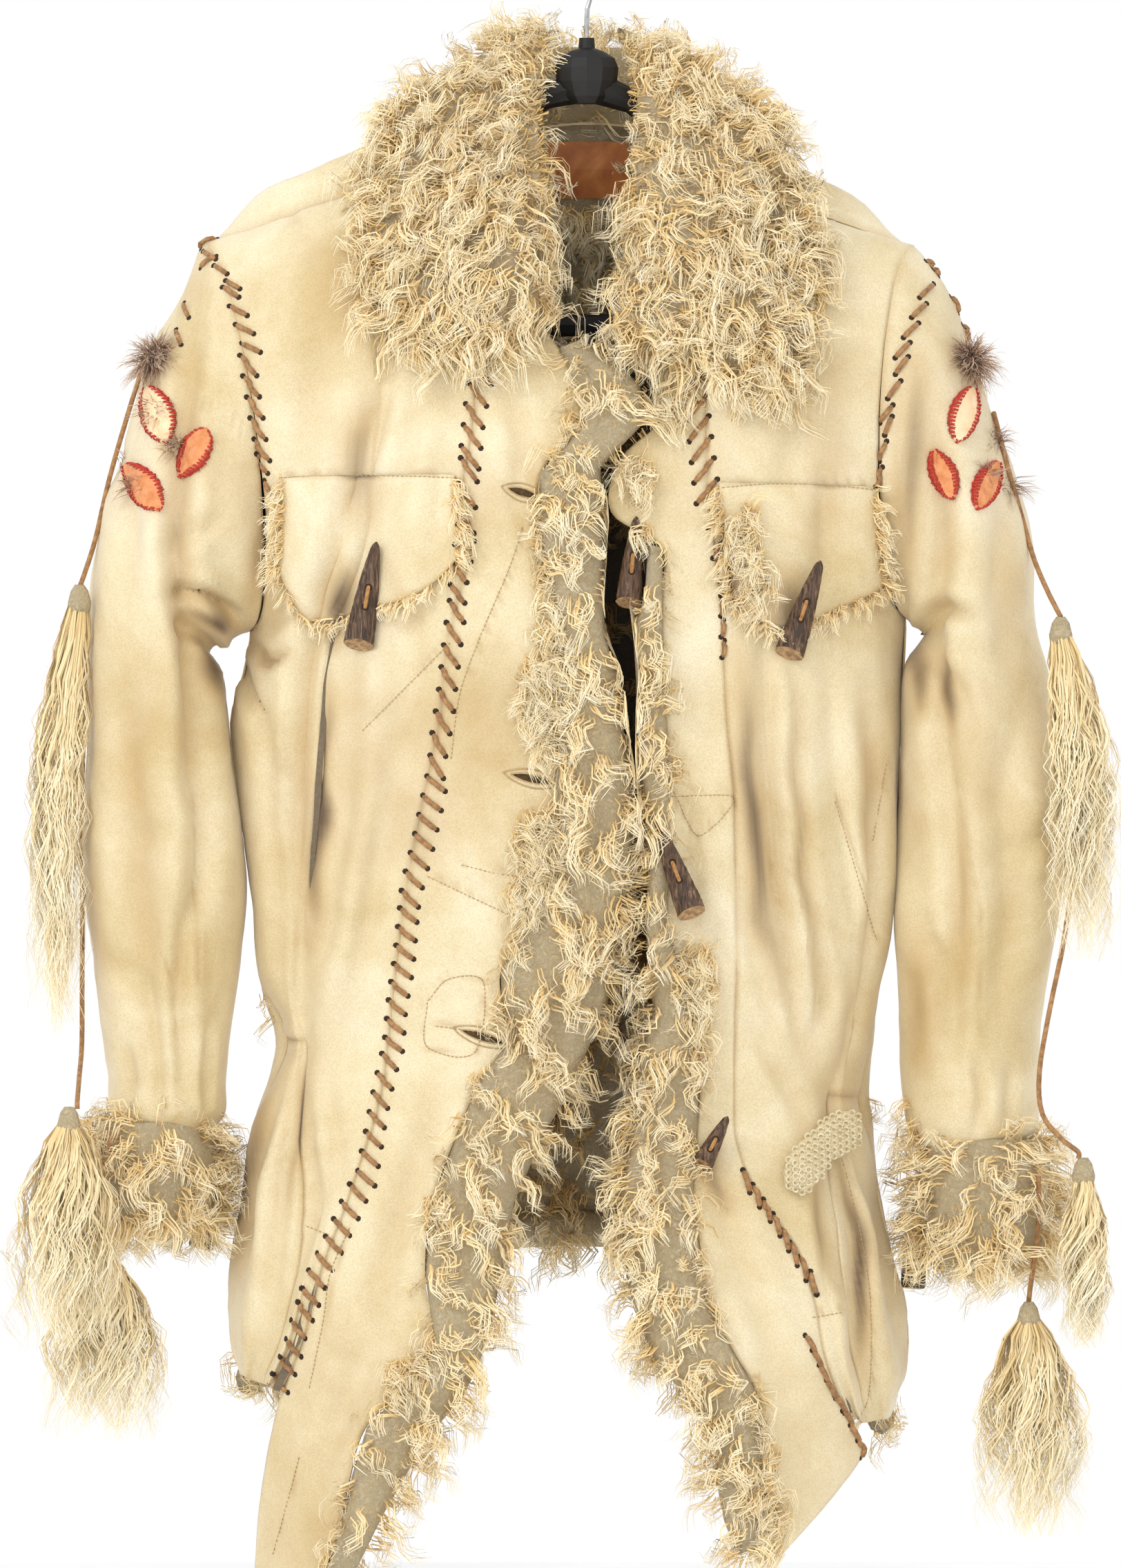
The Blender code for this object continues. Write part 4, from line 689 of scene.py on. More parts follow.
def soft_noise(points, size, seed=0):
    """Smooth noise from -1 to 1 with lumps of that size in metres."""
    q = points / size
    base = np.floor(q).astype(np.int64)
    f = q - base
    f = f * f * (3 - 2 * f)
    total = np.zeros(points.shape[:-1])
    for corner in np.ndindex(2, 2, 2):
        c = base + np.array(corner)
        h = (c[..., 0] * 73856093) ^ (c[..., 1] * 19349663) ^ (c[..., 2] * 83492791) ^ (seed * 7919)
        h = (h * 2654435761) & 0xFFFFFFFF
        h = ((h ^ (h >> 15)) * 2246822519) & 0xFFFFFFFF
        value = (h >> 8) / float(1 << 23) - 1.0
        weight = np.ones(points.shape[:-1])
        for axis in range(3):
            weight = weight * (f[..., axis] if corner[axis] else 1 - f[..., axis])
        total += value * weight
    return total


def line_distance(x, z, line):
    """Distance in plan units to a line of points, and share of the way along it."""
    best = np.full(x.shape, 1e9)
    share = np.zeros(x.shape)
    lengths = [math.dist(a, b) for a, b in zip(line, line[1:])]
    total = sum(lengths)
    start = 0.0
    for (ax, az), (bx, bz), size in zip(line, line[1:], lengths):
        ux, uz = (bx - ax) / size, (bz - az) / size
        t = np.clip((x - ax) * ux + (z - az) * uz, 0, size)
        d = np.hypot(x - ax - t * ux, z - az - t * uz)
        near = d < best
        best = np.where(near, d, best)
        share = np.where(near, (start + t) / total, share)
        start += size
    return best, share


def bell(d, width):
    """1 on a line, falling off on both sides over that width."""
    return np.exp(-(d / width) ** 2)


def taper(share, end, power):
    """1 at the middle of a line and near 0 at its ends, blunter for a small power."""
    return np.clip(np.sin(np.pi * np.clip(share, end, 1 - end)), 0, 1) ** power


FOLD_SCALE = 2.2
# Folds of the hide in front: line in plan units, half width, depth in mm
FOLDS_FRONT = [
    ([(566, 548), (520, 700), (470, 860), (440, 1060), (430, 1280), (434, 1470)], 15, 4.0),
    ([(610, 560), (585, 690), (560, 790)], 16, 1.6),
    ([(470, 470), (455, 600), (450, 690)], 26, 2.4),
    ([(520, 960), (500, 1150), (480, 1330), (452, 1480)], 17, 2.2),
    ([(560, 1180), (535, 1330), (500, 1470), (455, 1530)], 15, 1.8),
    ([(390, 1000), (400, 1180), (404, 1340), (412, 1490)], 12, 2.6),
    ([(365, 930), (400, 960), (440, 930)], 9, 2.4),
    ([(352, 960), (378, 1040), (392, 1120)], 8, 2.4),
    ([(412, 1510), (396, 1600), (366, 1740), (345, 1880)], 11, 2.5),
    ([(424, 1512), (422, 1620), (408, 1760), (392, 1880)], 11, 2.4),
    ([(434, 1512), (452, 1640), (460, 1740), (440, 1850)], 11, 2.0),
    ([(404, 1508), (372, 1590), (350, 1650)], 7, 2.6),
    ([(470, 1560), (490, 1650), (470, 1760)], 14, 1.6),
    ([(700, 1240), (760, 1265), (830, 1262)], 8, 1.2),
    ([(640, 1560), (600, 1690), (560, 1830), (520, 1960)], 22, 2.4),
    ([(560, 1900), (500, 2020), (450, 2160)], 18, 2.2),
    ([(740, 560), (760, 660), (750, 760)], 15, 1.8),
    ([(1105, 900), (1108, 1080), (1120, 1260), (1142, 1420), (1178, 1620)], 15, 4.2),
    ([(1146, 960), (1150, 1140), (1170, 1330), (1198, 1520), (1206, 1630)], 11, 2.4),
    ([(1250, 980), (1262, 1150), (1268, 1300), (1240, 1480), (1222, 1610)], 12, 3.0),
    ([(1075, 1180), (1085, 1340), (1120, 1500), (1160, 1640)], 13, 2.0),
    ([(1130, 560), (1150, 620), (1140, 700)], 22, 2.2),
    ([(1190, 690), (1200, 800), (1186, 890)], 24, 1.8),
    ([(1205, 1648), (1226, 1760), (1238, 1880), (1240, 1980)], 13, 2.6),
    ([(1230, 1640), (1268, 1740), (1290, 1880), (1296, 1960)], 12, 2.3),
    ([(1190, 1660), (1190, 1780), (1206, 1880)], 11, 2.0),
    ([(1160, 1600), (1110, 1540), (1080, 1470)], 10, 1.8),
    ([(1190, 1600), (1176, 1500), (1190, 1420)], 10, 2.0),
    ([(1040, 1700), (1060, 1800), (1100, 1900), (1130, 2000)], 18, 2.0),
    ([(985, 1140), (1000, 1250), (995, 1360)], 16, 1.4),
]
# Folds of the sleeves, on the front half; the rear half has like ones, mirrored and shifted
FOLDS_SLEEVE = [
    ([(300, 430), (270, 600), (256, 777), (280, 1000), (294, 1218), (287, 1400)], 16, 4.2),
    ([(250, 860), (300, 862), (352, 900)], 10, 5.0),
    ([(262, 905), (300, 925), (330, 980)], 10, 4.0),
    ([(230, 820), (260, 780), (320, 760)], 13, 2.4),
    ([(200, 930), (190, 1080), (205, 1240), (220, 1400), (215, 1560)], 24, 3.0),
    ([(170, 640), (200, 760), (190, 880)], 18, 2.0),
    ([(150, 1180), (200, 1215), (260, 1205)], 14, 1.6),
    ([(160, 1380), (210, 1420), (240, 1500)], 13, 1.8),
    ([(310, 1240), (270, 1330), (262, 1450), (270, 1580)], 12, 2.8),
    ([(225, 1470), (235, 1540), (228, 1610)], 8, 2.0),
    ([(180, 1500), (190, 1560), (184, 1612)], 8, 1.8),
    ([(300, 1480), (296, 1560), (302, 1612)], 7, 2.0),
    ([(1348, 560), (1362, 760), (1352, 960), (1372, 1150), (1388, 1340), (1384, 1500)], 15, 2.6),
    ([(1340, 900), (1372, 880), (1420, 900)], 12, 3.0),
    ([(1344, 950), (1380, 985), (1400, 1060)], 12, 2.6),
    ([(1450, 700), (1440, 860), (1462, 1010)], 20, 2.4),
    ([(1480, 1000), (1450, 1160), (1462, 1330), (1440, 1490)], 22, 2.8),
    ([(1530, 1180), (1480, 1230), (1430, 1240)], 14, 1.8),
    ([(1330, 1330), (1368, 1400), (1372, 1540)], 13, 2.6),
    ([(1410, 1530), (1420, 1590), (1414, 1640)], 8, 2.0),
    ([(1460, 1540), (1456, 1600), (1462, 1640)], 8, 1.8),
]
# Folds of the back, seen only from behind
FOLDS_BACK = [
    ([(500, 420), (520, 620), (500, 850), (480, 1100)], 26, 3.0),
    ([(1180, 430), (1160, 640), (1190, 860), (1200, 1090)], 24, 3.0),
    ([(800, 330), (820, 560), (805, 800)], 30, 1.8),
    ([(600, 900), (620, 1120), (590, 1360), (600, 1480)], 17, 3.4),
    ([(700, 1000), (690, 1200), (710, 1400), (700, 1500)], 15, 2.6),
    ([(900, 960), (915, 1180), (890, 1400), (900, 1510)], 17, 3.0),
    ([(1050, 900), (1040, 1130), (1070, 1350), (1060, 1490)], 15, 3.4),
    ([(480, 1540), (470, 1640), (440, 1800)], 14, 3.0),
    ([(620, 1560), (610, 1660), (580, 1740)], 14, 3.4),
    ([(760, 1560), (750, 1680)], 13, 2.6),
    ([(950, 1560), (970, 1700)], 15, 3.2),
    ([(1100, 1570), (1130, 1700), (1150, 1800)], 13, 3.0),
]
# Sewn seams of the front: a groove with puckers beside it
SEAMS_FRONT = [
    [(404, 690), (470, 688), (560, 688), (668, 692)],
    [(1040, 706), (1110, 700), (1190, 701), (1263, 707)],
    [(522, 1058), (580, 1000), (650, 930)],
    [(763, 766), (744, 826), (700, 930), (672, 1010), (660, 1100)],
    [(620, 1262), (700, 1300), (780, 1334), (868, 1345)],
    [(668, 1246), (740, 1262), (820, 1262)],
    [(515, 1772), (486, 1840), (476, 1908), (456, 2005)],
    [(442, 2101), (424, 2170), (402, 2249)],
    [(445, 1766), (480, 1778)],
    [(616, 1446), (650, 1411), (706, 1418), (692, 1525), (616, 1516), (616, 1446)],
    [(630, 1478), (690, 1486)],
    [(1211, 1156), (1240, 1250), (1273, 1358)],
    [(969, 1148), (1067, 1152), (1010, 1215), (969, 1148)],
    [(1288, 1104), (1268, 1218)],
    [(1170, 1897), (1215, 1890)],
    [(1217, 1653), (1240, 1740), (1262, 1860), (1262, 2010), (1240, 2060)],
    [(1296, 1690), (1312, 1800), (1317, 1930), (1300, 2030)],
    [(600, 540), (630, 516), (684, 500)],
    [(374, 250), (440, 330), (470, 400)],
]
SEAMS_SLEEVE = [
    [(293, 1140), (290, 1280), (287, 1415)],
    [(280, 1096), (326, 1096)],
    [(285, 585), (330, 600), (373, 652)],
    [(275, 621), (310, 640), (342, 694)],
    [(358, 737), (310, 780), (264, 852)],
    [(1351, 1011), (1387, 1166), (1418, 1321), (1415, 1497)],
    [(1314, 1114), (1366, 1099)],
    [(230, 1340), (252, 1420), (262, 1520)],
]
SEAMS_BACK = [
    [(853, 260), (853, 700), (853, 1200), (853, 1700)],
    [(470, 470), (660, 520), (853, 540), (1050, 520), (1230, 470)],
    [(520, 1200), (530, 1480)],
    [(1180, 1200), (1170, 1480)],
]
# Painted shade, where the hide is painted darker to stand for shadow by folds, toggles, armpits and the
# sleeves' inner sides: line in plan units, half width, strength
SHADES = [
    ([(548, 560), (526, 640), (522, 720), (530, 790)], 22, 0.52),
    ([(508, 800), (494, 890), (498, 960)], 20, 0.85),
    ([(500, 955), (482, 1080), (470, 1220), (462, 1400)], 10, 0.85),
    ([(452, 1000), (446, 1180), (444, 1380)], 20, 0.40),
    ([(470, 330), (492, 420), (500, 520)], 38, 0.26),
    ([(392, 700), (374, 800), (368, 900)], 14, 0.45),
    ([(366, 925), (400, 965), (436, 940)], 10, 0.55),
    ([(760, 640), (776, 720), (796, 800)], 14, 0.34),
    ([(640, 1010), (620, 1120), (600, 1240)], 20, 0.24),
    ([(560, 800), (600, 905), (640, 870)], 12, 0.30),
    ([(1062, 905), (1080, 1050), (1090, 1200), (1100, 1330), (1140, 1480)], 17, 0.66),
    ([(1146, 960), (1150, 1140), (1170, 1330), (1198, 1520)], 13, 0.45),
    ([(1250, 980), (1264, 1160), (1262, 1320)], 14, 0.45),
    ([(1150, 812), (1136, 900), (1140, 970)], 24, 0.62),
    ([(1040, 738), (1052, 820), (1068, 905)], 13, 0.95),
    ([(1196, 560), (1200, 700), (1176, 830)], 26, 0.34),
    ([(1300, 560), (1310, 760), (1318, 900)], 18, 0.42),
    ([(404, 1512), (380, 1600), (352, 1740), (340, 1880)], 11, 0.55),
    ([(430, 1512), (436, 1640), (424, 1760)], 11, 0.5),
    ([(1215, 1650), (1236, 1760), (1246, 1900), (1244, 2010)], 12, 0.7),
    ([(1190, 1660), (1184, 1760), (1196, 1860)], 12, 0.5),
    ([(1036, 1640), (1024, 1700), (1060, 1760)], 16, 0.55),
    ([(560, 1940), (510, 2060), (470, 2180)], 24, 0.24),
    ([(262, 880), (306, 896), (350, 912)], 15, 0.85),
    ([(288, 905), (300, 960), (318, 1030)], 13, 0.7),
    ([(292, 440), (268, 600), (258, 760), (272, 950), (288, 1200)], 18, 0.42),
    ([(200, 900), (196, 1080), (216, 1280), (222, 1480)], 26, 0.34),
    ([(140, 1180), (150, 1340), (164, 1500)], 16, 0.30),
    ([(1345, 920), (1362, 985), (1372, 1080)], 17, 0.66),
    ([(1318, 470), (1332, 560), (1324, 680), (1318, 780), (1320, 870)], 20, 0.56),
    ([(1328, 898), (1334, 980), (1322, 1060)], 12, 0.62),
    ([(318, 935), (316, 1000), (326, 1050)], 9, 0.5),
    ([(1350, 560), (1364, 740), (1358, 900)], 15, 0.42),
    ([(1440, 700), (1456, 880), (1470, 1040)], 20, 0.30),
    ([(1384, 1130), (1394, 1300), (1392, 1470)], 15, 0.42),
    ([(1328, 1330), (1340, 1440), (1340, 1580)], 16, 0.42),
]


def shade(points, seed):
    """Strength of the painted brown shade over points."""
    x = plan_x(points) + 10.0 * soft_noise(points, 0.035, seed + 5)
    z = plan_z(points)
    total = np.zeros(x.shape)
    for line, width, strength in SHADES:
        d, share = line_distance(x, z, line)
        dark = min(1.35 * strength, 0.95) * taper(share, 0.02, 0.7) * bell(d, 1.2 * width)
        total = np.maximum(total, dark)
    return total


def relief(points, folds, seams, seed):
    """Height in metres of folds, seams, puckers and wrinkles over a grid, and its darkening: painted shade in
    folds and along the shade lines, darker seams, and random stains.
    """
    x, z = plan_x(points), plan_z(points)
    wander = soft_noise(points, 0.035, seed + 5) * 5.0
    pucker = soft_noise(points, 0.006, seed + 9)
    height = np.zeros(x.shape)
    painted_shade_and_stains = np.zeros(x.shape)
    for line, width, depth in folds:
        d, share = line_distance(x + wander, z, line)
        ends = taper(share, 0.015, 0.55)
        body = bell(d, width)
        bank = bell(d - 2.0 * width, 1.1 * width)
        height += FOLD_SCALE * depth / 1000.0 * ends * (0.5 * bank - body)
        # Painted shade in the trough of each fold
        painted_shade_and_stains = np.maximum(painted_shade_and_stains, 0.44 * min(depth, 5) / 5.0 * ends * body)
    # Painted shade along the shade lines, on the fronts and sleeves
    if folds is not FOLDS_BACK:
        painted_shade_and_stains = np.maximum(painted_shade_and_stains, shade(points, seed))
    for line in seams:
        d, _ = line_distance(x, z, line)
        height += 0.0001 * (-11.0 * bell(d, 2.6) + 6.0 * bell(d - 6.0, 3.6) + 5.0 * pucker * bell(d, 12.0))
        painted_shade_and_stains = np.maximum(painted_shade_and_stains, 0.42 * bell(d, 2.2))
    height += 0.0016 * soft_noise(points, 0.055, seed)
    height += 0.0008 * soft_noise(points * np.array((1.0, 1.0, 0.55)), 0.021, seed + 1)
    height += 0.00035 * soft_noise(points, 0.009, seed + 2)
    stain = soft_noise(points, 0.075, seed + 3) * 0.8 + soft_noise(points, 0.02, seed + 4) * 0.35
    return height, np.maximum(painted_shade_and_stains, 0.46 * np.clip(stain, 0, 1))


def new_object(name, points, faces, materials, sharp=None):
    """A smooth mesh; edges that turn by more than the sharp angle in degrees stay sharp."""
    mesh = bpy.data.meshes.new(name)
    points = np.asarray(points, np.float32).reshape(-1, 3)
    faces = np.asarray(faces, np.int32)
    mesh.vertices.add(len(points))
    mesh.vertices.foreach_set("co", points.ravel())
    mesh.loops.add(faces.size)
    mesh.loops.foreach_set("vertex_index", faces.ravel())
    mesh.polygons.add(len(faces))
    mesh.polygons.foreach_set("loop_start", np.arange(0, faces.size, faces.shape[1], dtype=np.int32))
    mesh.update(calc_edges=True)
    mesh.shade_smooth()
    if sharp is not None:
        mesh.set_sharp_from_angle(angle=math.radians(sharp))
    for material in materials:
        mesh.materials.append(material)
    return add(name, mesh)


def attribute(obj, name, values):
    layer = obj.data.attributes.new(name, "FLOAT", "POINT")
    layer.data.foreach_set("value", np.asarray(values, np.float32).ravel())


SURFACES = []


def inside_shade(z, name):
    """How dark the painted shade on the wool inside a panel is: darkest behind the opening of the front,
    where the inside lies in shadow.
    """
    if name == "back":
        height = -z / UNIT + TOP_Z
        return np.interp(height, [440, 560, 1180, 1420, 1700], [0.10, 0.85, 0.85, 0.45, 0.25])
    return np.full(z.shape, 0.75)


def wall_panel(name, points, normals, painted_shade_and_stains, cells, wall=WALL, edge_drop=0.0012):
    """A thin closed shell over the chosen cells of a grid, with rolled edges."""
    columns = points.shape[1]
    r, c = np.nonzero(cells)
    right = (c + 1) % columns
    upper, lower = r * columns, (r + 1) * columns
    quads = np.stack([upper + c, lower + c, lower + right, upper + right], 1)
    n = unit(normals).reshape(-1, 3)
    flat = points.reshape(-1, 3)
    towards = np.cross(flat[quads[:, 1]] - flat[quads[:, 0]], flat[quads[:, 3]] - flat[quads[:, 0]])
    if np.mean(np.sum(towards * n[quads[:, 0]], axis=1)) < 0:
        quads = quads[:, ::-1]
    used, quads = np.unique(quads, return_inverse=True)
    quads = quads.reshape(-1, 4)
    edges = np.concatenate([quads[:, [k, (k + 1) % 4]] for k in range(4)])
    key = {(a, b) for a, b in edges.tolist()}
    border = [(a, b) for a, b in edges.tolist() if (b, a) not in key]
    on_border = np.zeros(len(used), bool)
    on_border[[a for a, _ in border]] = True
    outer = flat[used].copy()
    normal = n[used]
    outer[on_border] -= normal[on_border] * edge_drop
    inner = flat[used] - normal * wall
    count = len(used)
    SURFACES.append((outer, quads))
    walls = [(b, a, a + count, b + count) for a, b in border]
    faces = np.concatenate([quads, quads[:, ::-1] + count, np.array(walls)])
    obj = new_object(name, np.concatenate([outer, inner]), faces, [HIDE, FLEECE_BASE], 70)
    slots = np.zeros(len(faces), np.int32)
    slots[len(quads):2 * len(quads)] = 1
    obj.data.polygons.foreach_set("material_index", slots)
    # Outside: painted shade and stains from the relief, darker along the edges; inside: painted shade on the
    # wool
    dark = np.concatenate([painted_shade_and_stains.reshape(-1)[used] + 0.30 * on_border, inside_shade(inner[:, 2], name)])
    attribute(obj, "painted_shade_and_stains", np.clip(dark, 0, 1))
    return obj


def cells_where(points, step, test):
    """The cells of a fine grid whose coarse cell passes a test."""
    rows, columns = points.shape[0] - 1, points.shape[1] - 1
    return np.array([[test(i // step, j // step) for j in range(columns)] for i in range(rows)])


def worked(coarse, step, flip, folds, seams, seed, lap=0.0, closed=False):
    """The fine grid of a sheet with its folds and seams, its normals, and its painted shade and stains;
    sleeves start smooth.
    """
    points = fine_grid(coarse, step, closed)
    height, painted_shade_and_stains = relief(points, folds, seams, seed)
    if closed:
        height = height * np.clip(np.arange(len(points)) / (1.5 * FINE), 0, 1)[:, None]
    points = points + grid_normals(points, flip, closed) * height[..., None]
    points[-1, :, 2] -= lap
    return points, grid_normals(points, flip, closed), painted_shade_and_stains


PANELS = {}
COARSE_L = np.array(front_grid(ROWS_L, RINGS_L, FOLD_L, SHOULDER_L))
COARSE_R = np.array(front_grid(ROWS_R, RINGS_R, FOLD_R, SHOULDER_R))
COARSE_B = np.array(back_grid(COARSE_L, COARSE_R))
# How far the back's lower edge laps over the fleece hem
HEM_LAP = 0.0035


def front_panels(name, coarse, flip, seed):
    points, normals, painted_shade_and_stains = worked(coarse, FINE, flip, FOLDS_FRONT, SEAMS_FRONT, seed)
    tests = {
        "centre_front_": lambda i, j: j >= LACED,
        "side_front_": lambda i, j: j < LACED and i < SKIRT_END and not (i >= WAIST and j < PEPLUM),
        "peplum_": lambda i, j: WAIST <= i < SKIRT_END and j < PEPLUM,
    }
    for start, test in tests.items():
        keep = cells_where(points, FINE, test)
        PANELS[start + name] = wall_panel(start + name, points, normals, painted_shade_and_stains, keep)
    return points, normals


def back_panel():
    points, normals, painted_shade_and_stains = worked(COARSE_B, BACK_FINE, True, FOLDS_BACK, SEAMS_BACK, 37, lap=HEM_LAP)
    neck_ends = (LACED, COARSE_B.shape[1] - 2 - LACED)
    keep = cells_where(points, BACK_FINE, lambda i, j: not (i == 0 and j in neck_ends))
    PANELS["back"] = wall_panel("back", points, normals, painted_shade_and_stains, keep)
    return points, normals


def sleeve_panel(name, rings, coarse_front, back_column, flip, seed):
    loops = [[coarse_front[i][0] for i in range(ARMPIT + 1)]
             + [COARSE_B[i][back_column] for i in range(ARMPIT - 1, 0, -1)]]
    ox, oz, ix, iz, depth, _ = rings[-1]
    inside = (mix(ox, ix, 0.16), oz + 34, mix(ox, ix, 0.84), iz + 34, depth * 0.72, 0)
    angles = [math.pi * k / ARMPIT for k in range(2 * ARMPIT)]
    for ring in rings[1:] + [inside]:
        loops.append([ring_point(ring, a if a <= math.pi else a - 2 * math.pi) for a in angles])
    points, normals, painted_shade_and_stains = worked(loops, FINE, flip, FOLDS_SLEEVE, SEAMS_SLEEVE, seed, closed=True)
    keep = np.ones((points.shape[0] - 1, points.shape[1]), bool)
    PANELS["sleeve_" + name] = wall_panel("sleeve_" + name, points, normals, painted_shade_and_stains, keep)


FRONT_L, NORMAL_L = front_panels("left", COARSE_L, False, 11)
FRONT_R, NORMAL_R = front_panels("right", COARSE_R, True, 23)
BACK_P, BACK_N = back_panel()
sleeve_panel("left", RINGS_L, COARSE_L, 0, False, 51)
sleeve_panel("right", RINGS_R, COARSE_R, COARSE_B.shape[1] - 1, True, 67)


# What later pieces lie on
def surface_tree():
    points = []
    faces = []
    for outer, quads in SURFACES:
        start = len(points)
        points.extend(map(tuple, outer.tolist()))
        faces.extend(map(tuple, (quads + start).tolist()))
    return BVHTree.FromPolygons(points, faces)


TO_THE_BACK = Vector((0, 1, 0))
IN_FRONT_MM = -600


def cloth_at(x, z):
    """Point and normal of the foremost cloth at a plan point, if there is any."""
    hit, normal, _, _ = CLOTH.ray_cast(Vector(at(x, z, IN_FRONT_MM)), TO_THE_BACK)
    if hit is None:
        return None
    normal = np.array(normal)
    return np.array(hit), normal if normal[1] < 0 else -normal


def cast(x, z):
    """The foremost cloth at a plan point, or nearer the middle if there is none."""
    for step in range(24):
        found = cloth_at(x + math.copysign(3 * step, MID_X - x), z)
        if found:
            return found
    raise ValueError("no cloth near %g %g" % (x, z))


# Yoke flaps on the side fronts: x, top z, bottom z
YOKE_L = [(392, 698, 815), (415, 695, 832), (450, 694, 866), (485, 693, 903), (549, 692, 905),
          (590, 692, 886), (625, 692, 864), (648, 692, 842), (664, 694, 806)]
YOKE_R = [(1044, 704, 880), (1072, 704, 902), (1118, 704, 916), (1160, 705, 906), (1195, 706, 893),
          (1230, 707, 872), (1252, 707, 857), (1268, 716, 846)]
FLAP_GAP = 0.0012
FLAP_THICK = 0.0024
FLAP_TOP_Z = 700
FLAP_COLUMNS = range(FINE // 2, 41)
FLAP_ROWS = 26
FLAP_EDGES = {}


def yoke_flap(name, outline, points, normals, seed):
    grid = []
    out = []
    for c in FLAP_COLUMNS:
        line = points[:WAIST * FINE, c]
        line_out = normals[:WAIST * FINE, c]
        z = plan_z(line)
        x = float(np.interp(FLAP_TOP_Z, z, line[:, 0])) / UNIT + MID_X
        steps = np.linspace(table(outline, x, 1), table(outline, x, 2), FLAP_ROWS)
        grid.append([[np.interp(s, z, line[:, k]) for k in range(3)] for s in steps])
        out.append([[np.interp(s, z, line_out[:, k]) for k in range(3)] for s in steps])
    grid = np.array(grid).swapaxes(0, 1)
    out = unit(np.array(out).swapaxes(0, 1))
    share = np.linspace(0, 1, FLAP_ROWS)[:, None]
    lift = FLAP_GAP + FLAP_THICK + 0.0016 * share ** 2 + 0.0012 * soft_noise(grid, 0.03, seed) * share
    grid = grid + out * lift[..., None]
    # Darker towards the flap's lower edge, and painted shade along the shade lines
    painted_shade_and_stains = np.maximum(0.5 * bell(1 - share, 0.05), shade(grid, seed))
    keep = np.ones((FLAP_ROWS - 1, grid.shape[1] - 1), bool)
    PANELS[name] = wall_panel(name, grid, out, painted_shade_and_stains, keep, FLAP_THICK, 0.0006)
    FLAP_EDGES[name] = (grid[-1], out[-1], grid[:, 0], out[:, 0], grid[:, -1], out[:, -1])


yoke_flap("yoke_left", YOKE_L, FRONT_L, NORMAL_L, 5)
yoke_flap("yoke_right", YOKE_R, FRONT_R, NORMAL_R, 8)
CLOTH = surface_tree()


# Tubes and straps
def tube_points(path, radius, sides, flat=1.0):
    """Rings round a path of points: radius for each point, flat for the share across the normal."""
    path = np.asarray(path, float)
    radius = np.broadcast_to(radius, (len(path),))
    run = unit(np.gradient(path, axis=0))
    out = np.cross(run, np.cross((0.0, -1.0, 0.0), run))
    weak = np.linalg.norm(out, axis=1) < 0.05
    out[weak] = np.cross(run[weak], np.cross((1.0, 0.0, 0.3), run[weak]))
    out = unit(out)
    side = np.cross(run, out)
    angles = 2 * np.pi * np.arange(sides) / sides
    return (path[:, None] + radius[:, None, None] * (side[:, None] * np.cos(angles)[None, :, None]
            + flat * out[:, None] * np.sin(angles)[None, :, None]))


class Bundle:
    """Many small tubes gathered into one mesh."""

    def __init__(self):
        self.points = []
        self.faces = []
        self.count = 0

    def tube(self, path, radius, sides=6, flat=1.0):
        rings = tube_points(path, radius, sides, flat)
        n = len(rings)
        base = self.count
        self.points.append(rings.reshape(-1, 3))
        self.points.append(np.array([rings[0].mean(0), rings[-1].mean(0)]))
        caps = (base + n * sides, base + n * sides + 1)
        for i in range(n - 1):
            a = base + i * sides
            for k in range(sides):
                m = (k + 1) % sides
                self.faces.append((a + k, a + m, a + sides + m, a + sides + k))
        last = base + (n - 1) * sides
        for k in range(sides):
            m = (k + 1) % sides
            self.faces.append((base + m, base + k, caps[0], caps[0]))
            self.faces.append((last + k, last + m, caps[1], caps[1]))
        self.count += n * sides + 2

    def build(self, name, material, slot):
        mesh = bpy.data.meshes.new(name)
        faces = [f if f[2] != f[3] else f[:3] for f in self.faces]
        mesh.from_pydata([tuple(p) for p in np.concatenate(self.points).tolist()], [], faces)
        mesh.update()
        mesh.shade_smooth()
        mesh.materials.append(material)
        dress(add(name, mesh), slot)


# Lacing: first dash x, z, last dash x, z at its upper end, dashes, a dash's run in x, z, half width in mm
LACING = [
    (683, 530, 669, 650, 5, 25, 34, 1.35),
    (669, 668, 664, 742, 3, 24, 34, 1.2),
    (662, 762, 655, 850, 4, 21, 26, 1.35),
    (652, 872, 626, 1095, 8, 20, 32, 1.35),
    (620, 1124, 586, 1290, 7, 26, 22, 1.35),
    (582, 1314, 560, 1500, 8, 25, 20, 1.35),
    (556, 1524, 520, 1690, 7, 23, 22, 1.3),
    (509, 1710, 440, 1860, 7, 24, 24, 1.35),
    (434, 1880, 398, 1985, 5, 22, 26, 1.3),
    (1018, 548, 1036, 698, 6, -29, 36, 1.35),
    (1036, 748, 1042, 790, 2, -12, 22, 1.2),
    (1041, 812, 1047, 930, 5, -3, 24, 1.1),
    (1074, 1690, 1172, 1836, 8, 10, 32, 1.35),
    (1162, 1926, 1238, 2080, 8, 14, 26, 1.35),
    (296, 366, 330, 410, 3, 22, 12, 1.2),
    (326, 420, 352, 500, 4, 26, 14, 1.3),
    (350, 518, 372, 640, 5, 24, 30, 1.3),
    (376, 662, 388, 700, 2, 18, 26, 1.2),
    (284, 360, 292, 390, 2, 24, -16, 1.2),
    (268, 440, 258, 480, 2, 8, 22, 1.1),
    (1352, 412, 1316, 500, 4, -22, 22, 1.3),
    (1312, 520, 1290, 590, 3, -18, 26, 1.3),
    (1288, 606, 1276, 680, 3, -10, 28, 1.2),
    (1358, 388, 1374, 400, 2, 24, -10, 1.2),
    (1386, 430, 1400, 510, 3, 12, 24, 1.2),
]
# Ribbon of a dash: how wide it is over its table width, its share of that along it, and how flat it is
LACE_WIDE = 1.32
LACE_SWELL = np.array([0.7, 1.0, 1.05, 0.95, 1.0, 1.05, 0.7])
LACE_FLAT = 0.62


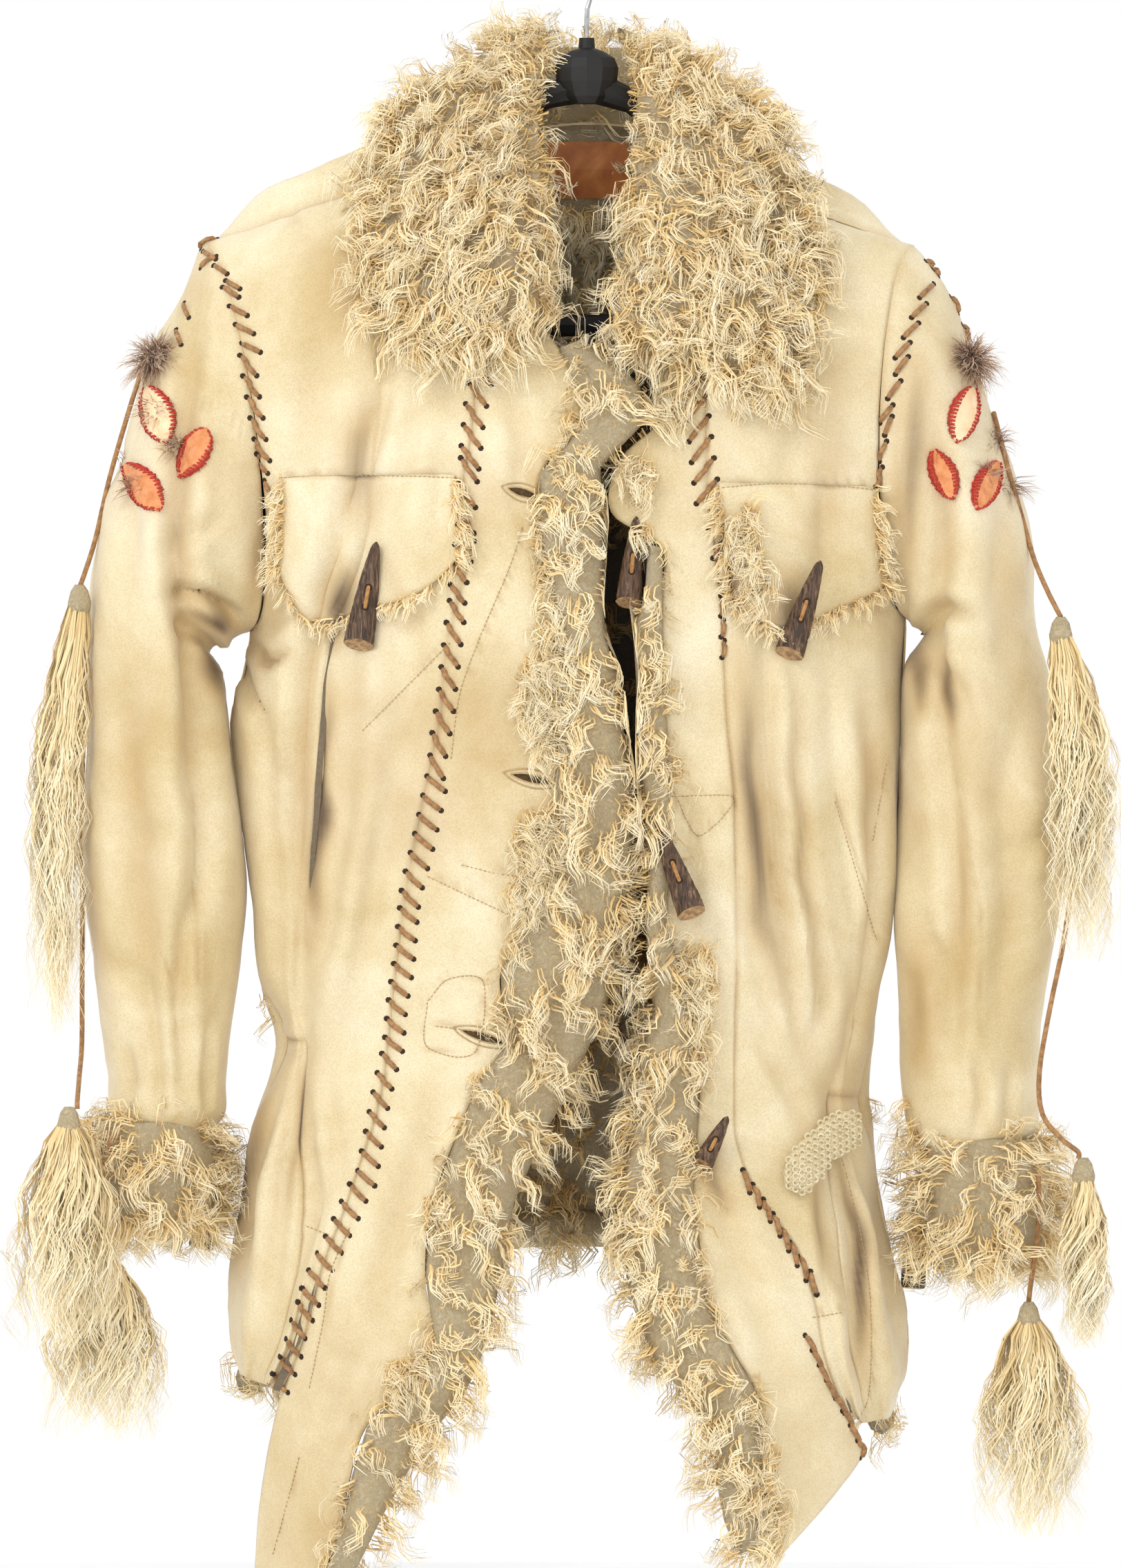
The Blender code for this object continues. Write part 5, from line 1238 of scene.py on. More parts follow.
def lacing():
    laces = Bundle()
    holes = Bundle()
    for x0, z0, x1, z1, count, run_x, run_z, half in LACING:
        for k in range(count):
            t = k / max(count - 1, 1)
            shift = soft_noise(np.array([[x0 + k * 7.7, z0, k * 3.1]]) * 0.05, 1.0, 3)[0]
            ax, az = mix(x0, x1, t) + 3 * shift, mix(z0, z1, t) + 2 * shift
            bx, bz = ax + run_x * (1 + 0.12 * shift), az + run_z * (1 - 0.10 * shift)
            path = []
            for s in np.linspace(0, 1, len(LACE_SWELL)):
                p, n = cast(mix(ax, bx, s), mix(az, bz, s))
                path.append(p + n * (-0.0012 + 0.0034 * math.sin(math.pi * s) ** 0.45))
            laces.tube(path, LACE_WIDE * half / 1000.0 * LACE_SWELL, 6, LACE_FLAT)
            for px, pz in ((ax, az), (bx, bz)):
                p, n = cast(px, pz)
                # A dark disc with painted shade inside the lace hole
                holes.tube([p - n * 0.0012, p - n * 0.0002, p + n * 0.00035], [0.0021, 0.0023, 0.0017], 7)
    laces.build("lacing", LACE, "thong")
    holes.build("lacing_holes", HOLE_SHADE, "thong")


lacing()


# Stitches along the sewn seams: spacing, length and shift to the side in plan units, and radius in metres
STITCH_SPACING = 6.5
STITCH_LONG = 4.2
STITCH_ASIDE = 5.0
STITCH_RADIUS = 0.00032


def stitches(name, line):
    bundle = Bundle()
    fine = refine(np.array(line, float), 12)
    steps = np.concatenate([[0], np.cumsum(np.hypot(*np.diff(fine, axis=0).T))])
    for s in np.arange(STITCH_SPACING / 2, steps[-1], STITCH_SPACING):
        ax, az = (np.interp(s, steps, fine[:, k]) for k in (0, 1))
        bx, bz = (np.interp(min(s + STITCH_LONG, steps[-1]), steps, fine[:, k]) for k in (0, 1))
        run = math.hypot(bx - ax, bz - az)
        if run < 1e-6:
            continue
        ox, oz = (az - bz) / run * STITCH_ASIDE, (bx - ax) / run * STITCH_ASIDE
        p, n = cast(ax + ox, az + oz)
        q, _ = cast(bx + ox, bz + oz)
        bundle.tube([p, mix(p, q, 0.5) + n * STITCH_RADIUS * 1.6, q], STITCH_RADIUS, 5)
    bundle.build(name, THREAD, "thong")


for number, seam_line in enumerate(SEAMS_FRONT[:16]):
    stitches("stitching_%d" % number, seam_line)

# Buttonholes: the two ends of each, then their rims: side, half width in plan units, share past each end
BUTTONHOLES = [((738, 712), (780, 724)), ((744, 1122), (800, 1134)), ((672, 1490), (730, 1508))]
RIMS = [(-1, 6, 0.06), (1, 6, 0.06), (-1, 13, 0.26), (1, 13, 0.26)]


def buttonholes():
    slits = Bundle()
    rims = Bundle()
    for (ax, az), (bx, bz) in BUTTONHOLES:
        run = math.hypot(bx - ax, bz - az)
        ux, uz = (bx - ax) / run, (bz - az) / run
        middle = []
        for s in np.linspace(0, 1, 9):
            p, n = cast(mix(ax, bx, s), mix(az, bz, s))
            middle.append(p + n * 0.0002)
        slits.tube(middle, 0.0026 * np.sin(np.linspace(0.15, math.pi - 0.15, 9)), 8, 0.35)
        for side, wide, over in RIMS:
            edge = []
            for s in np.linspace(-over, 1 + over, 13):
                open_by = side * wide * math.sin(math.pi * (s + over) / (1 + 2 * over)) ** 0.8
                p, n = cast(mix(ax, bx, s) - uz * open_by, mix(az, bz, s) + ux * open_by)
                if p[1] < 0:
                    edge.append(p + n * 0.0004)
            rims.tube(edge, 0.00045, 6, 0.9)
    slits.build("buttonhole_slits", SLIT, "hide")
    rims.build("buttonhole_rims", THREAD, "hide")


buttonholes()


# Wool. Strands are flat tapered ribbons that follow a curl, gathered in locks
def sample(body, triangles, count, rng):
    """Random points with normals on triangles, even over their area."""
    a, b, c = (body[triangles[:, k]] for k in range(3))
    cross = np.cross(b - a, c - a)
    area = np.linalg.norm(cross, axis=1)
    chosen = rng.choice(len(triangles), count, p=area / area.sum())
    u, v = rng.random(len(chosen)), rng.random(len(chosen))
    over = u + v > 1
    u[over], v[over] = 1 - u[over], 1 - v[over]
    points = a[chosen] + (b - a)[chosen] * u[:, None] + (c - a)[chosen] * v[:, None]
    return points, unit(cross)[chosen]


def mesh_arrays(obj):
    mesh = obj.data
    mesh.calc_loop_triangles()
    points = np.empty(len(mesh.vertices) * 3)
    mesh.vertices.foreach_get("co", points)
    triangles = np.empty(len(mesh.loop_triangles) * 3, np.int32)
    mesh.loop_triangles.foreach_get("vertices", triangles)
    return points.reshape(-1, 3), triangles.reshape(-1, 3)


# How far wool may stand out in front of and behind the CAD box
WOOL_ROOM = 0.0078


def squash(values, limit, room):
    """Values beyond a limit are pressed into the room past it; a negative room is a lower limit."""
    over = np.maximum((values - limit) / room, 0.0)
    return np.where(over > 0, limit + room * (1.0 - np.exp(-over)), values)


def strands(name, paths, outward, width, material, slot, rng, nodes=()):
    """One mesh of flat tapered strands that face outward; paths is strand by point by 3."""
    count, steps, _ = paths.shape
    paths[..., 1] = squash(squash(paths[..., 1], CAD_BOX[1][1], WOOL_ROOM), CAD_BOX[0][1], -WOOL_ROOM)
    run = unit(np.gradient(paths, axis=1))
    facing = unit(outward + 0.42 * rng.standard_normal((count, 3)))[:, None]
    side = unit(np.cross(run, facing))
    taper = (1.0 - 0.78 * np.linspace(0, 1, steps) ** 1.8)[None, :, None]
    half = side * taper * np.asarray(width).reshape(-1, 1, 1)
    points = np.stack([paths - half, paths + half], 2)
    base = np.arange(count)[:, None] * steps * 2 + np.arange(steps - 1)[None, :] * 2
    faces = np.stack([base, base + 1, base + 3, base + 2], -1).reshape(-1, 4)
    obj = new_object(name, points, faces, [material])
    attribute(obj, "along", np.broadcast_to(np.linspace(0, 1, steps)[None, :, None], (count, steps, 2)))
    attribute(obj, "tint", rng.random((count, 1, 1)) * np.ones((count, steps, 2)))
    dress(obj, slot, *nodes)


def lock_strands(name, paths, normals, width, material, slot, rng):
    """Strands of uneven width, as many for each lock's normal."""
    outward = np.repeat(normals, len(paths) // len(normals), axis=0)
    strands(name, paths, outward, width * rng.uniform(0.7, 1.3, len(paths)), material, slot, rng)


WOOL_SWIRL = 0.62


def curls(points, normals, fall, length, radius, turns, steps, per_lock, rng, stand=0.35, spread=0.004):
    """Paths of curly locks: each lock's strands share its curl and close up towards its tip."""
    count = len(points)
    t = np.linspace(0, 1, steps)[None, None, :, None]
    fall = unit(unit(fall) + normals * stand + WOOL_SWIRL * rng.standard_normal((count, 3)))
    out = unit(normals + 0.25 * rng.standard_normal((count, 3)))
    side = unit(np.cross(fall, out))
    up = np.cross(side, fall)
    size = length * rng.uniform(0.6, 1.15, (count, 1, 1, 1))
    phase = rng.uniform(0, 2 * np.pi, (count, 1, 1, 1))
    twist = turns * rng.uniform(0.7, 1.3, (count, 1, 1, 1)) * rng.choice([-1, 1], (count, 1, 1, 1))
    bend = radius * rng.uniform(0.6, 1.3, (count, 1, 1, 1))
    own = rng.uniform(-1, 1, (count, per_lock, 1, 3)) * spread
    own_size = rng.uniform(0.72, 1.0, (count, per_lock, 1, 1))
    own_phase = rng.uniform(-0.45, 0.45, (count, per_lock, 1, 1))
    angle = phase + own_phase + twist * 2 * np.pi * t
    swell = np.sin(np.pi * np.clip(t * 1.25, 0, 1) * 0.5)
    droop = np.array((0, 0, -1.0)) * 0.28 * size * t ** 2
    points, out, fall, side, up = (v[:, None, None] for v in (points, out, fall, side, up))
    path = (points + out * size * 0.34 * np.sin(np.pi * 0.62 * t) + fall * size * own_size * (t ** 1.15)
            + bend * swell * (side * np.cos(angle) + up * np.sin(angle)) + droop + own * (1 - 0.5 * t))
    return path.reshape(count * per_lock, steps, 3)


def shrunk(node, by):
    """Points and triangles of a CAD solid, drawn in along its normals, as the body under the wool."""
    points, triangles = mesh_arrays(NODES[node])
    corners, index = np.unique(np.round(points, 6), axis=0, return_inverse=True)
    tri = index.reshape(-1)[triangles]
    normal = np.zeros_like(corners)
    cross = np.cross(corners[tri[:, 1]] - corners[tri[:, 0]], corners[tri[:, 2]] - corners[tri[:, 0]])
    for k in range(3):
        np.add.at(normal, tri[:, k], cross)
    normal = unit(normal)
    good = (tri[:, 0] != tri[:, 1]) & (tri[:, 1] != tri[:, 2]) & (tri[:, 0] != tri[:, 2])
    lumps = soft_noise(corners, 0.012, 4)[:, None]
    body = corners - normal * by + normal * lumps * by * 0.4
    return body, tri[good]


# Locks of a fleece piece: strands in each, steps and turns of a curl, width of a strand and spread in metres
LOCK_STRANDS = 11
LOCK_STEPS = 6
LOCK_TURNS = 1.15
LOCK_STAND = 0.4
LOCK_SPREAD = 0.0062
STRAND_WIDTH = 0.0005


def fleece_piece(node, strands_count, length, radius, fall, seed, by, smooth=1, gap=None):
    """A fleece body, drawn in from its CAD solid, with curly wool all over it."""
    rng = np.random.default_rng(seed)
    body, triangles = shrunk(node, by)
    base = new_object(node + "_base", body, triangles, [FLEECE_BASE])
    subdivide = base.modifiers.new("smooth", "SUBSURF")
    subdivide.levels = smooth
    subdivide.render_levels = smooth
    dress(base, "fleece", node)
    points, normals = sample(body, triangles, strands_count // LOCK_STRANDS, rng)
    heading = fall(points) if callable(fall) else np.broadcast_to(np.array(fall, float), points.shape)
    paths = curls(points, normals, heading, length, radius, LOCK_TURNS, LOCK_STEPS, LOCK_STRANDS, rng,
                  LOCK_STAND, LOCK_SPREAD)
    if gap:
        paths = clear_gap(paths, gap)
    lock_strands(node + "_wool", paths, normals, STRAND_WIDTH, WOOL, "fleece", rng)


# The dark gap between the two fronts: z, and x on its left and right
GAP = [(700, 866, 900), (760, 872, 908), (814, 868, 930), (877, 864, 920), (921, 869, 926), (979, 894, 934),
       (1024, 898, 930), (1091, 906, 929), (1158, 915, 932), (1230, 922, 936)]


def clear_gap(paths, side):
    """Wool of one edge pressed back from the gap."""
    x, z = paths[..., 0], plan_z(paths)
    edge = np.interp(z, [g[0] for g in GAP], [g[1 if side == "left" else 2] for g in GAP])
    room = 0.0045 if side == "left" else -0.0045
    inside = (z > GAP[0][0]) & (z < GAP[-1][0])
    paths[..., 0] = np.where(inside, squash(x, (edge - MID_X) * UNIT, room), x)
    return paths


def away_from(x, z, down):
    """Wool that falls away from a plan point and down."""
    middle = at(x, z, 0)

    def heading(points):
        run = points - middle
        run[:, 1] = 0
        return unit(run) + np.array((0, 0, -down))
    return heading


# Fleece pieces: strands, length and radius of a curl in metres, where it falls, seed, how far the body is
# drawn in, steps that smooth it, and the side of the gap that it keeps clear
FLEECE = {
    "collar_left": (10000, 0.028, 0.0054, away_from(800, 180, 0.5), 101, 0.0075),
    "collar_right": (10300, 0.028, 0.0055, away_from(900, 180, 0.5), 102, 0.0075),
    "collar_back": (2400, 0.026, 0.0048, away_from(853, 300, -0.3), 103, 0.006),
    "fleece_edge_left": (6200, 0.024, 0.0050, (0.35, -0.15, -0.7), 104, -0.0018, 0, "left"),
    "fleece_edge_right": (5300, 0.023, 0.0050, (-0.35, -0.15, -0.7), 105, -0.0018, 0, "right"),
    "fleece_hem_back": (2400, 0.022, 0.0044, (0.0, 0.1, -0.9), 106, 0.0002, 0),
    "cuff_left": (4200, 0.024, 0.0050, away_from(220, 1640, 0.7), 107, 0.006),
    "cuff_right": (4200, 0.024, 0.0050, away_from(1426, 1670, 0.7), 108, 0.006),
}
for fleece_name, fleece_row in FLEECE.items():
    fleece_piece(fleece_name, *fleece_row)


# Wool on the inside of the back, where it shows between the fronts and at the neck
def inner_wool():
    rng = np.random.default_rng(120)
    inner = BACK_P - BACK_N * (WALL + 0.0005)
    x, z = plan_x(inner), plan_z(inner)
    behind_collar = (abs(x - 852) < 60) & (z < 288)
    # The wool low down and in the gap takes the darker copy, as painted shade
    zones = {
        "neck": ((abs(x - 850) < 108) & (z > 190) & (z < 480) & ~behind_collar, 190, WOOL),
        "low": ((abs(x - 900) < 230) & (z > 1160), 230, SHADED_WOOL),
        "gap": ((abs(x - 900) < 70) & (z > 600) & (z < 1180), 60, SHADED_WOOL),
    }
    per_lock = 9
    for name, (where, locks, finish) in zones.items():
        r, c = np.nonzero(where[:-1, :-1])
        pick = rng.integers(0, len(r), locks)
        r, c = r[pick], c[pick]
        u, v = rng.random((2, locks, 1))
        points = inner[r, c] + (inner[r + 1, c] - inner[r, c]) * u + (inner[r, c + 1] - inner[r, c]) * v
        normals = -BACK_N[r, c]
        fall = np.broadcast_to(np.array((0.0, -0.2, -0.8)), points.shape)
        paths = curls(points, normals, fall, 0.022, 0.0046, 1.2, 6, per_lock, rng, 0.35)
        inward = np.repeat(normals, per_lock, axis=0)[:, None]
        roots = np.repeat(points, per_lock, axis=0)[:, None]
        depth = np.sum((paths - roots) * inward, axis=2, keepdims=True)
        paths = paths - inward * np.minimum(depth - 0.0006, 0)
        lock_strands("back_%s_wool" % name, paths, normals, 0.00046, finish, "fleece", rng)


inner_wool()


# Short wool along open edges: flaps, hide edges and tails
def edge_wool(name, line, out, count, length, seed, push=(0.0, 0.0, -1.0)):
    rng = np.random.default_rng(seed)
    where = rng.uniform(0, len(line) - 1.001, count)
    i = where.astype(int)
    f = (where - i)[:, None]
    points = mix(line[i], line[i + 1], f)
    normals = unit(mix(out[i], out[i + 1], f))
    fall = np.broadcast_to(np.array(push, float), points.shape)
    radius = length * 0.15
    paths = curls(points - normals * 0.0015, normals, fall, length, radius, 0.8, 5, 6, rng, 0.15, 0.003)
    lock_strands(name, paths, normals, 0.00042, WOOL, "fleece", rng)


for side_name, push_x in (("left", 1), ("right", -1)):
    low, low_n, near, near_n, far, far_n = FLAP_EDGES["yoke_" + side_name]
    edge_wool("yoke_%s_wool_low" % side_name, low, low_n, 90, 0.011, 131)
    edge_wool("yoke_%s_wool_side" % side_name, near, near_n, 60, 0.013, 132, (-0.8 * push_x, 0, -0.4))
    edge_wool("yoke_%s_wool_front" % side_name, far, far_n, 50, 0.016, 133, (0.8 * push_x, 0, -0.4))


# Wool over the edge of the hide, in tufts of uneven reach: x, z of a patch's middle, half width, half height
PATCHES = {
    "left": [(818, 700, 30, 36), (806, 775, 36, 52), (806, 868, 30, 52), (842, 930, 20, 40),
             (790, 1000, 40, 62), (812, 1066, 40, 34), (852, 1130, 26, 50), (792, 1212, 50, 46),
             (800, 1284, 60, 40), (806, 1380, 78, 52), (822, 1450, 44, 60), (748, 1565, 66, 28),
             (715, 1650, 50, 62), (690, 1760, 44, 62), (668, 1850, 50, 62), (660, 1950, 40, 60),
             (610, 1990, 50, 40), (590, 2060, 32, 60), (556, 2170, 30, 60), (500, 2240, 28, 40),
             (880, 560, 40, 34), (862, 612, 42, 30), (372, 1470, 20, 34), (350, 1545, 16, 50)],
    "right": [(934, 820, 12, 70), (938, 960, 14, 70), (944, 1110, 14, 80), (950, 1260, 16, 70),
              (990, 1420, 46, 56), (985, 1500, 44, 50), (958, 1610, 42, 60), (940, 1720, 40, 60),
              (960, 1820, 48, 60), (985, 1930, 52, 50), (1040, 2020, 48, 50), (1080, 2100, 42, 50),
              (1090, 2180, 38, 50), (1096, 2230, 30, 30), (1078, 768, 16, 40), (1092, 838, 16, 48),
              (1284, 1600, 34, 16), (1316, 1655, 14, 34), (985, 585, 26, 30), (930, 690, 22, 24)],
}
# Wool that fills the notch of the left hide edge: low x, high x, low z, high z, locks, and depth in mm
NOTCH = (796, 846, 640, 745, 46)
NOTCH_DEPTH = -91


def patch_wool(side, seed):
    rng = np.random.default_rng(seed)
    points = []
    normals = []
    for x, z, half_x, half_z in PATCHES[side]:
        for _ in range(int(half_x * half_z / 16)):
            radius = math.sqrt(rng.random())
            turn = rng.uniform(0, 2 * math.pi)
            found = cloth_at(x + half_x * radius * math.cos(turn), z + half_z * radius * math.sin(turn))
            if found and found[0][1] < 0.03:
                points.append(found[0])
                normals.append(found[1])
    if side == "left":
        low_x, high_x, low_z, high_z, locks = NOTCH
        for _ in range(locks):
            points.append(at(rng.uniform(low_x, high_x), rng.uniform(low_z, high_z), NOTCH_DEPTH))
            normals.append(np.array((0.0, -1.0, 0.0)))
    points, normals = np.array(points), np.array(normals)
    fall = np.broadcast_to(np.array((0.35 if side == "left" else -0.35, -0.1, -0.8)), points.shape)
    paths = curls(points - normals * 0.001, normals, fall, 0.021, 0.0048, 1.1, 6, 9, rng, 0.22)
    lock_strands("front_%s_wool" % side, clear_gap(paths, side), normals, 0.0004, WOOL, "fleece", rng)


patch_wool("left", 141)
patch_wool("right", 142)

# Tassels: head x, hair left x, right x, half depth in mm; their heights come from their solids
TASSELS = {
    "tassel_left_1": (118, 40, 132, 12),
    "tassel_left_2": (106, 14, 194, 14),
    "tassel_left_3": (150, 52, 252, 14),
    "tassel_right_1": (1532, 1508, 1618, 13),
    "tassel_right_2": (1564, 1534, 1598, 11),
    "tassel_right_3": (1487, 1403, 1582, 14),
}


def tassel(name, seed):
    x, x0, x1, half_deep = TASSELS[name]
    rng = np.random.default_rng(seed)
    locks, per_lock, steps = 68, 9, 11
    count = locks * per_lock
    box_low, box_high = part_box(name)
    head = 0.0085 if x1 - x0 > 80 else 0.0070
    middle_top = np.array(((x - MID_X) * UNIT, (box_low[1] + box_high[1]) / 2.0, box_high[2] - 0.012))
    t = np.linspace(0, 1, steps)[None, :]

    def shared(low, high, own=0.0):
        """A random value for each lock, with a small share of its own for each strand."""
        value = np.repeat(rng.uniform(low, high, (locks, 1)), per_lock, axis=0)
        return value + own * (high - low) * rng.uniform(-0.5, 0.5, (count, 1))

    turn = shared(0, 2 * np.pi, 0.07)
    radius = np.sqrt(np.clip(shared(0, 1, 0.15), 0.0, 1.0))
    full = middle_top[2] - box_low[2]
    size = full * np.clip(shared(0.5, 1.0, 0.3), 0.4, 1.0) ** 0.7
    reach_x = (x1 - x0) / 2.0 * UNIT
    centre_x = ((x0 + x1) / 2.0 - MID_X) * UNIT
    share = np.clip(t * size / full * 2.2, 0, 1) ** 0.7
    wave = shared(0.5, 1.5, 0.3) * 0.0052
    phase = shared(0, 2 * np.pi, 0.08)
    waves = shared(4.0, 6.5, 0.05) * size / 0.25
    swing = phase + waves * 2 * np.pi * t
    px = mix(middle_top[0], centre_x, np.clip(t * 2, 0, 1))
    px = px + np.cos(turn) * radius * mix(head * 0.8, reach_x * 0.86, share)
    px = px + wave * share * np.sin(swing) + 0.0034 * share * rng.uniform(-1, 1, (count, 1))
    py = middle_top[1] + np.sin(turn) * radius * mix(head * 0.8, half_deep / 1000.0, share)
    py = py + wave * share * np.cos(swing) + 0.0034 * share * rng.uniform(-1, 1, (count, 1))
    pz = middle_top[2] + 0.006 * np.sqrt(np.clip(1 - radius ** 2, 0, 1)) * (1 - t) - size * t
    paths = np.stack([px, py, pz], -1)
    outward = np.concatenate([np.cos(turn), np.sin(turn), 0.2 + 0 * turn], axis=1)
    widths = 0.00056 * rng.uniform(0.6, 1.3, count)
    strands(name + "_wool", paths, outward, widths, LONG_WOOL, "fleece", rng, (name,))
    bundle = Bundle()
    top = middle_top + np.array((0, 0, 0.013))
    bundle.tube([top + np.array((0, 0, down)) for down in (0, -0.004, -0.012, -0.018)],
                [0.0030, 0.0058, 0.0078, 0.0070], 14)
    bundle.build(name + "_head", FLEECE_BASE, "fleece")


for number, tassel_name in enumerate(TASSELS):
    tassel(tassel_name, 150 + number)


# Puffs of brown fur
def puff(name, seed):
    rng = np.random.default_rng(seed)
    body, triangles = shrunk(name, 0.001)
    base = new_object(name + "_base", body, triangles, [PUFF_WOOL])
    attribute(base, "along", np.zeros(len(body)))
    attribute(base, "tint", np.full(len(body), 0.5))
    dress(base, "puff", name)
    points, normals = sample(body, triangles, 420, rng)
    fall = unit(points - body.mean(0))
    paths = curls(points, normals, fall, 0.016, 0.0012, 0.5, 5, 2, rng, 0.6, 0.002)
    lock_strands(name + "_wool", paths, normals, 0.0003, PUFF_WOOL, "puff", rng)


puff("puff_left", 161)
puff("puff_right", 162)


# CAD solids that stay as they are and only take a finish
def keep_node(name, material, smooth=35):
    obj = NODES[name]
    obj.data.materials.clear()
    obj.data.materials.append(material)
    obj.data.shade_smooth()
    obj.data.set_sharp_from_angle(angle=math.radians(smooth))


# Horn toggles: tip x, tip z, end x, end z, half width at the end
TOGGLES = {
    "toggle_1": (548, 788, 521, 944, 22),
    "toggle_2": (1185, 815, 1137, 956, 22),
    "toggle_3": (921, 752, 909, 884, 19),
    "toggle_4": (950, 1190, 1003, 1328, 21),
    "toggle_5": (1052, 1612, 1010, 1690, 17),
}
# A toggle from tip to end: shares of the way, and of its full width and depth there
HORN_AT = [0, 0.02, 0.06, 0.25, 0.5, 0.8, 1.0]
HORN_WIDE = [0.05, 0.20, 0.32, 0.54, 0.76, 0.94, 1.0]
HORN_DEEP = [0.05, 0.34, 0.52, 0.75, 0.92, 1.0, 1.0]
# Half depth in metres, slant of the saw cut, and how far its two inner rings close up
HORN_HALF = 0.0058
HORN_SLANT = 0.0075
HORN_CLOSE = [0.80, 0.02]


def toggle(name, seed):
    """Horn with long ridges and a slanted saw cut at its wide end, in the place of its solid."""
    rng = np.random.default_rng(seed)
    x0, z0, x1, z1, half = TOGGLES[name]
    low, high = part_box(name)
    middle = (low[1] + high[1]) / 2.0
    a, b = at(x0, z0, middle * 1000), at(x1, z1, middle * 1000)
    run = (b - a) / np.linalg.norm(b - a)
    side = np.cross(run, (0, 1, 0))
    sides, rings = 40, 30
    angle = 2 * math.pi * np.arange(sides) / sides
    ridge = np.interp(np.arange(sides), np.linspace(0, sides, 17), rng.uniform(-1, 1, 17), period=sides)
    loops = []
    for share, close in zip([*np.linspace(0, 1, rings), 1.0, 1.0], [1.0] * rings + HORN_CLOSE):
        wide = float(np.interp(share, HORN_AT, HORN_WIDE))
        deep = float(np.interp(share, HORN_AT, HORN_DEEP))
        rough = 1.0 + 0.07 * ridge + 0.03 * rng.uniform(-1, 1, sides) - 0.05
        slant = -HORN_SLANT * np.clip(share * 4 - 3, 0, 1) * (0.5 - 0.5 * np.sin(angle))
        across = (np.cos(angle) * rough * wide * half * UNIT * close)[:, None] * side
        through = (np.sin(angle) * rough * deep * HORN_HALF * close)[:, None] * np.array((0.0, 1.0, 0.0))
        centre = -HORN_SLANT * 0.5 if share == 1.0 else 0.0
        shift = centre + (slant - centre) * close
        loops.append(mix(a, b, share) + across + through + shift[:, None] * run)
    points = np.concatenate(loops)
    faces = []
    for i in range(len(loops) - 1):
        for k in range(sides):
            m = (k + 1) % sides
            faces.append((i * sides + k, i * sides + m, (i + 1) * sides + m, (i + 1) * sides + k))
    obj = new_object(name + "_horn", points, faces, [HORN, CUT_HORN], 40)
    slots = np.zeros(len(faces), np.int32)
    slots[(rings - 1) * sides:] = 1
    obj.data.polygons.foreach_set("material_index", slots)
    dress(obj, "horn", name)
    # Dark discs with painted shade inside the two holes
    holes = Bundle()
    for share in (0.42, 0.60):
        c = mix(a, b, share)
        front = -HORN_HALF * float(np.interp(share, HORN_AT, HORN_DEEP))
        ends = [c + np.array((0, front + by, 0)) for by in (0.001, -0.0003)]
        holes.tube(ends, [0.0026, 0.0023], 12)
    holes.build(name + "_holes", HOLE_SHADE, "horn")


for number in range(1, 6):
    toggle("toggle_%d" % number, 170 + number)
    keep_node("loop_%d" % number, LOOP)
for side_name in ("left", "right"):
    keep_node("cuff_toggle_" + side_name, DARK_HORN)
keep_node("hanger", PLASTIC, 65)
keep_node("hook", WIRE)
keep_node("label", LABEL)

# Leaves of thin leather sewn to the sleeves: x, z, length, half width, turn in degrees, finish
LEAVES = {
    "leaf_left_1": (232, 604, 88, 23, 16, PETAL),
    "leaf_left_2": (284, 660, 80, 21, -30, SUEDE),
    "leaf_left_3": (212, 708, 84, 21, 34, SUEDE),
    "leaf_right_1": (1392, 604, 84, 20, -14, PETAL),
    "leaf_right_2": (1362, 690, 78, 19, 24, SUEDE),
    "leaf_right_3": (1424, 706, 76, 18, -22, SUEDE),
}
LEAF_LIFT = 0.0030
LEAF_THICK = 0.0024


def leaf(name, stitch_bundle):
    """A pointed leaf with a scalloped edge, and red stitches slanting over it."""
    x, z, length, half, turn, finish = LEAVES[name]
    turn = math.radians(turn)
    along_x, along_z = math.sin(turn), math.cos(turn)
    across_x, across_z = math.cos(turn), -math.sin(turn)

    def spot(s, w):
        up, over = length * s, half * w
        return cast(x + along_x * up + across_x * over, z + along_z * up + across_z * over)

    rows, columns = 33, 9
    grid = np.zeros((rows, columns, 3))
    out = np.zeros((rows, columns, 3))
    for i, s in enumerate(np.linspace(-0.5, 0.5, rows)):
        full = math.sin(math.pi * (s + 0.5)) ** 0.62
        scallop = 1.0 - 0.10 * abs(math.sin(math.pi * 7 * (s + 0.5)))
        for j, w in enumerate(np.linspace(-1, 1, columns)):
            p, n = spot(s, w * max(full * scallop, 0.04))
            grid[i, j] = p + n * (LEAF_LIFT + 0.0008 * (1 - w * w) - 0.0005 * bell(w, 0.14))
            out[i, j] = n
    cells = np.ones((rows - 1, columns - 1), bool)
    obj = wall_panel(name + "_leather", grid, out, np.zeros((rows, columns)), cells, LEAF_THICK, 0.0006)
    SURFACES.pop()
    obj.data.materials.clear()
    obj.data.materials.append(finish)
    obj.data.materials.append(finish)
    dress(obj, "suede", name)
    for i in range(1, rows - 1):
        for j in (0, columns - 1):
            inner = mix(grid[i, j], grid[i, columns // 2], 0.34)
            slant = grid[i + 1, j] if i % 2 else grid[i - 1, j]
            reach = slant + (grid[i, j] - grid[i, columns // 2]) * 0.16 - out[i, j] * LEAF_THICK
            middle = mix(inner, slant, 0.75) + out[i, j] * 0.0010
            stitch_bundle.tube([inner + out[i, j] * 0.0003, middle, reach], 0.00062, 5)


LEAF_THREAD = Bundle()
for leaf_name in LEAVES:
    leaf(leaf_name, LEAF_THREAD)
LEAF_THREAD.build("leaf_stitches", RED_THREAD, "suede")

# Wisps of brown fur between the leaves: x, z, half size
WISPS = [(232, 596, 26), (262, 655, 24), (206, 705, 22), (176, 668, 18), (1440, 640, 20), (1462, 706, 22),
         (1424, 690, 16)]


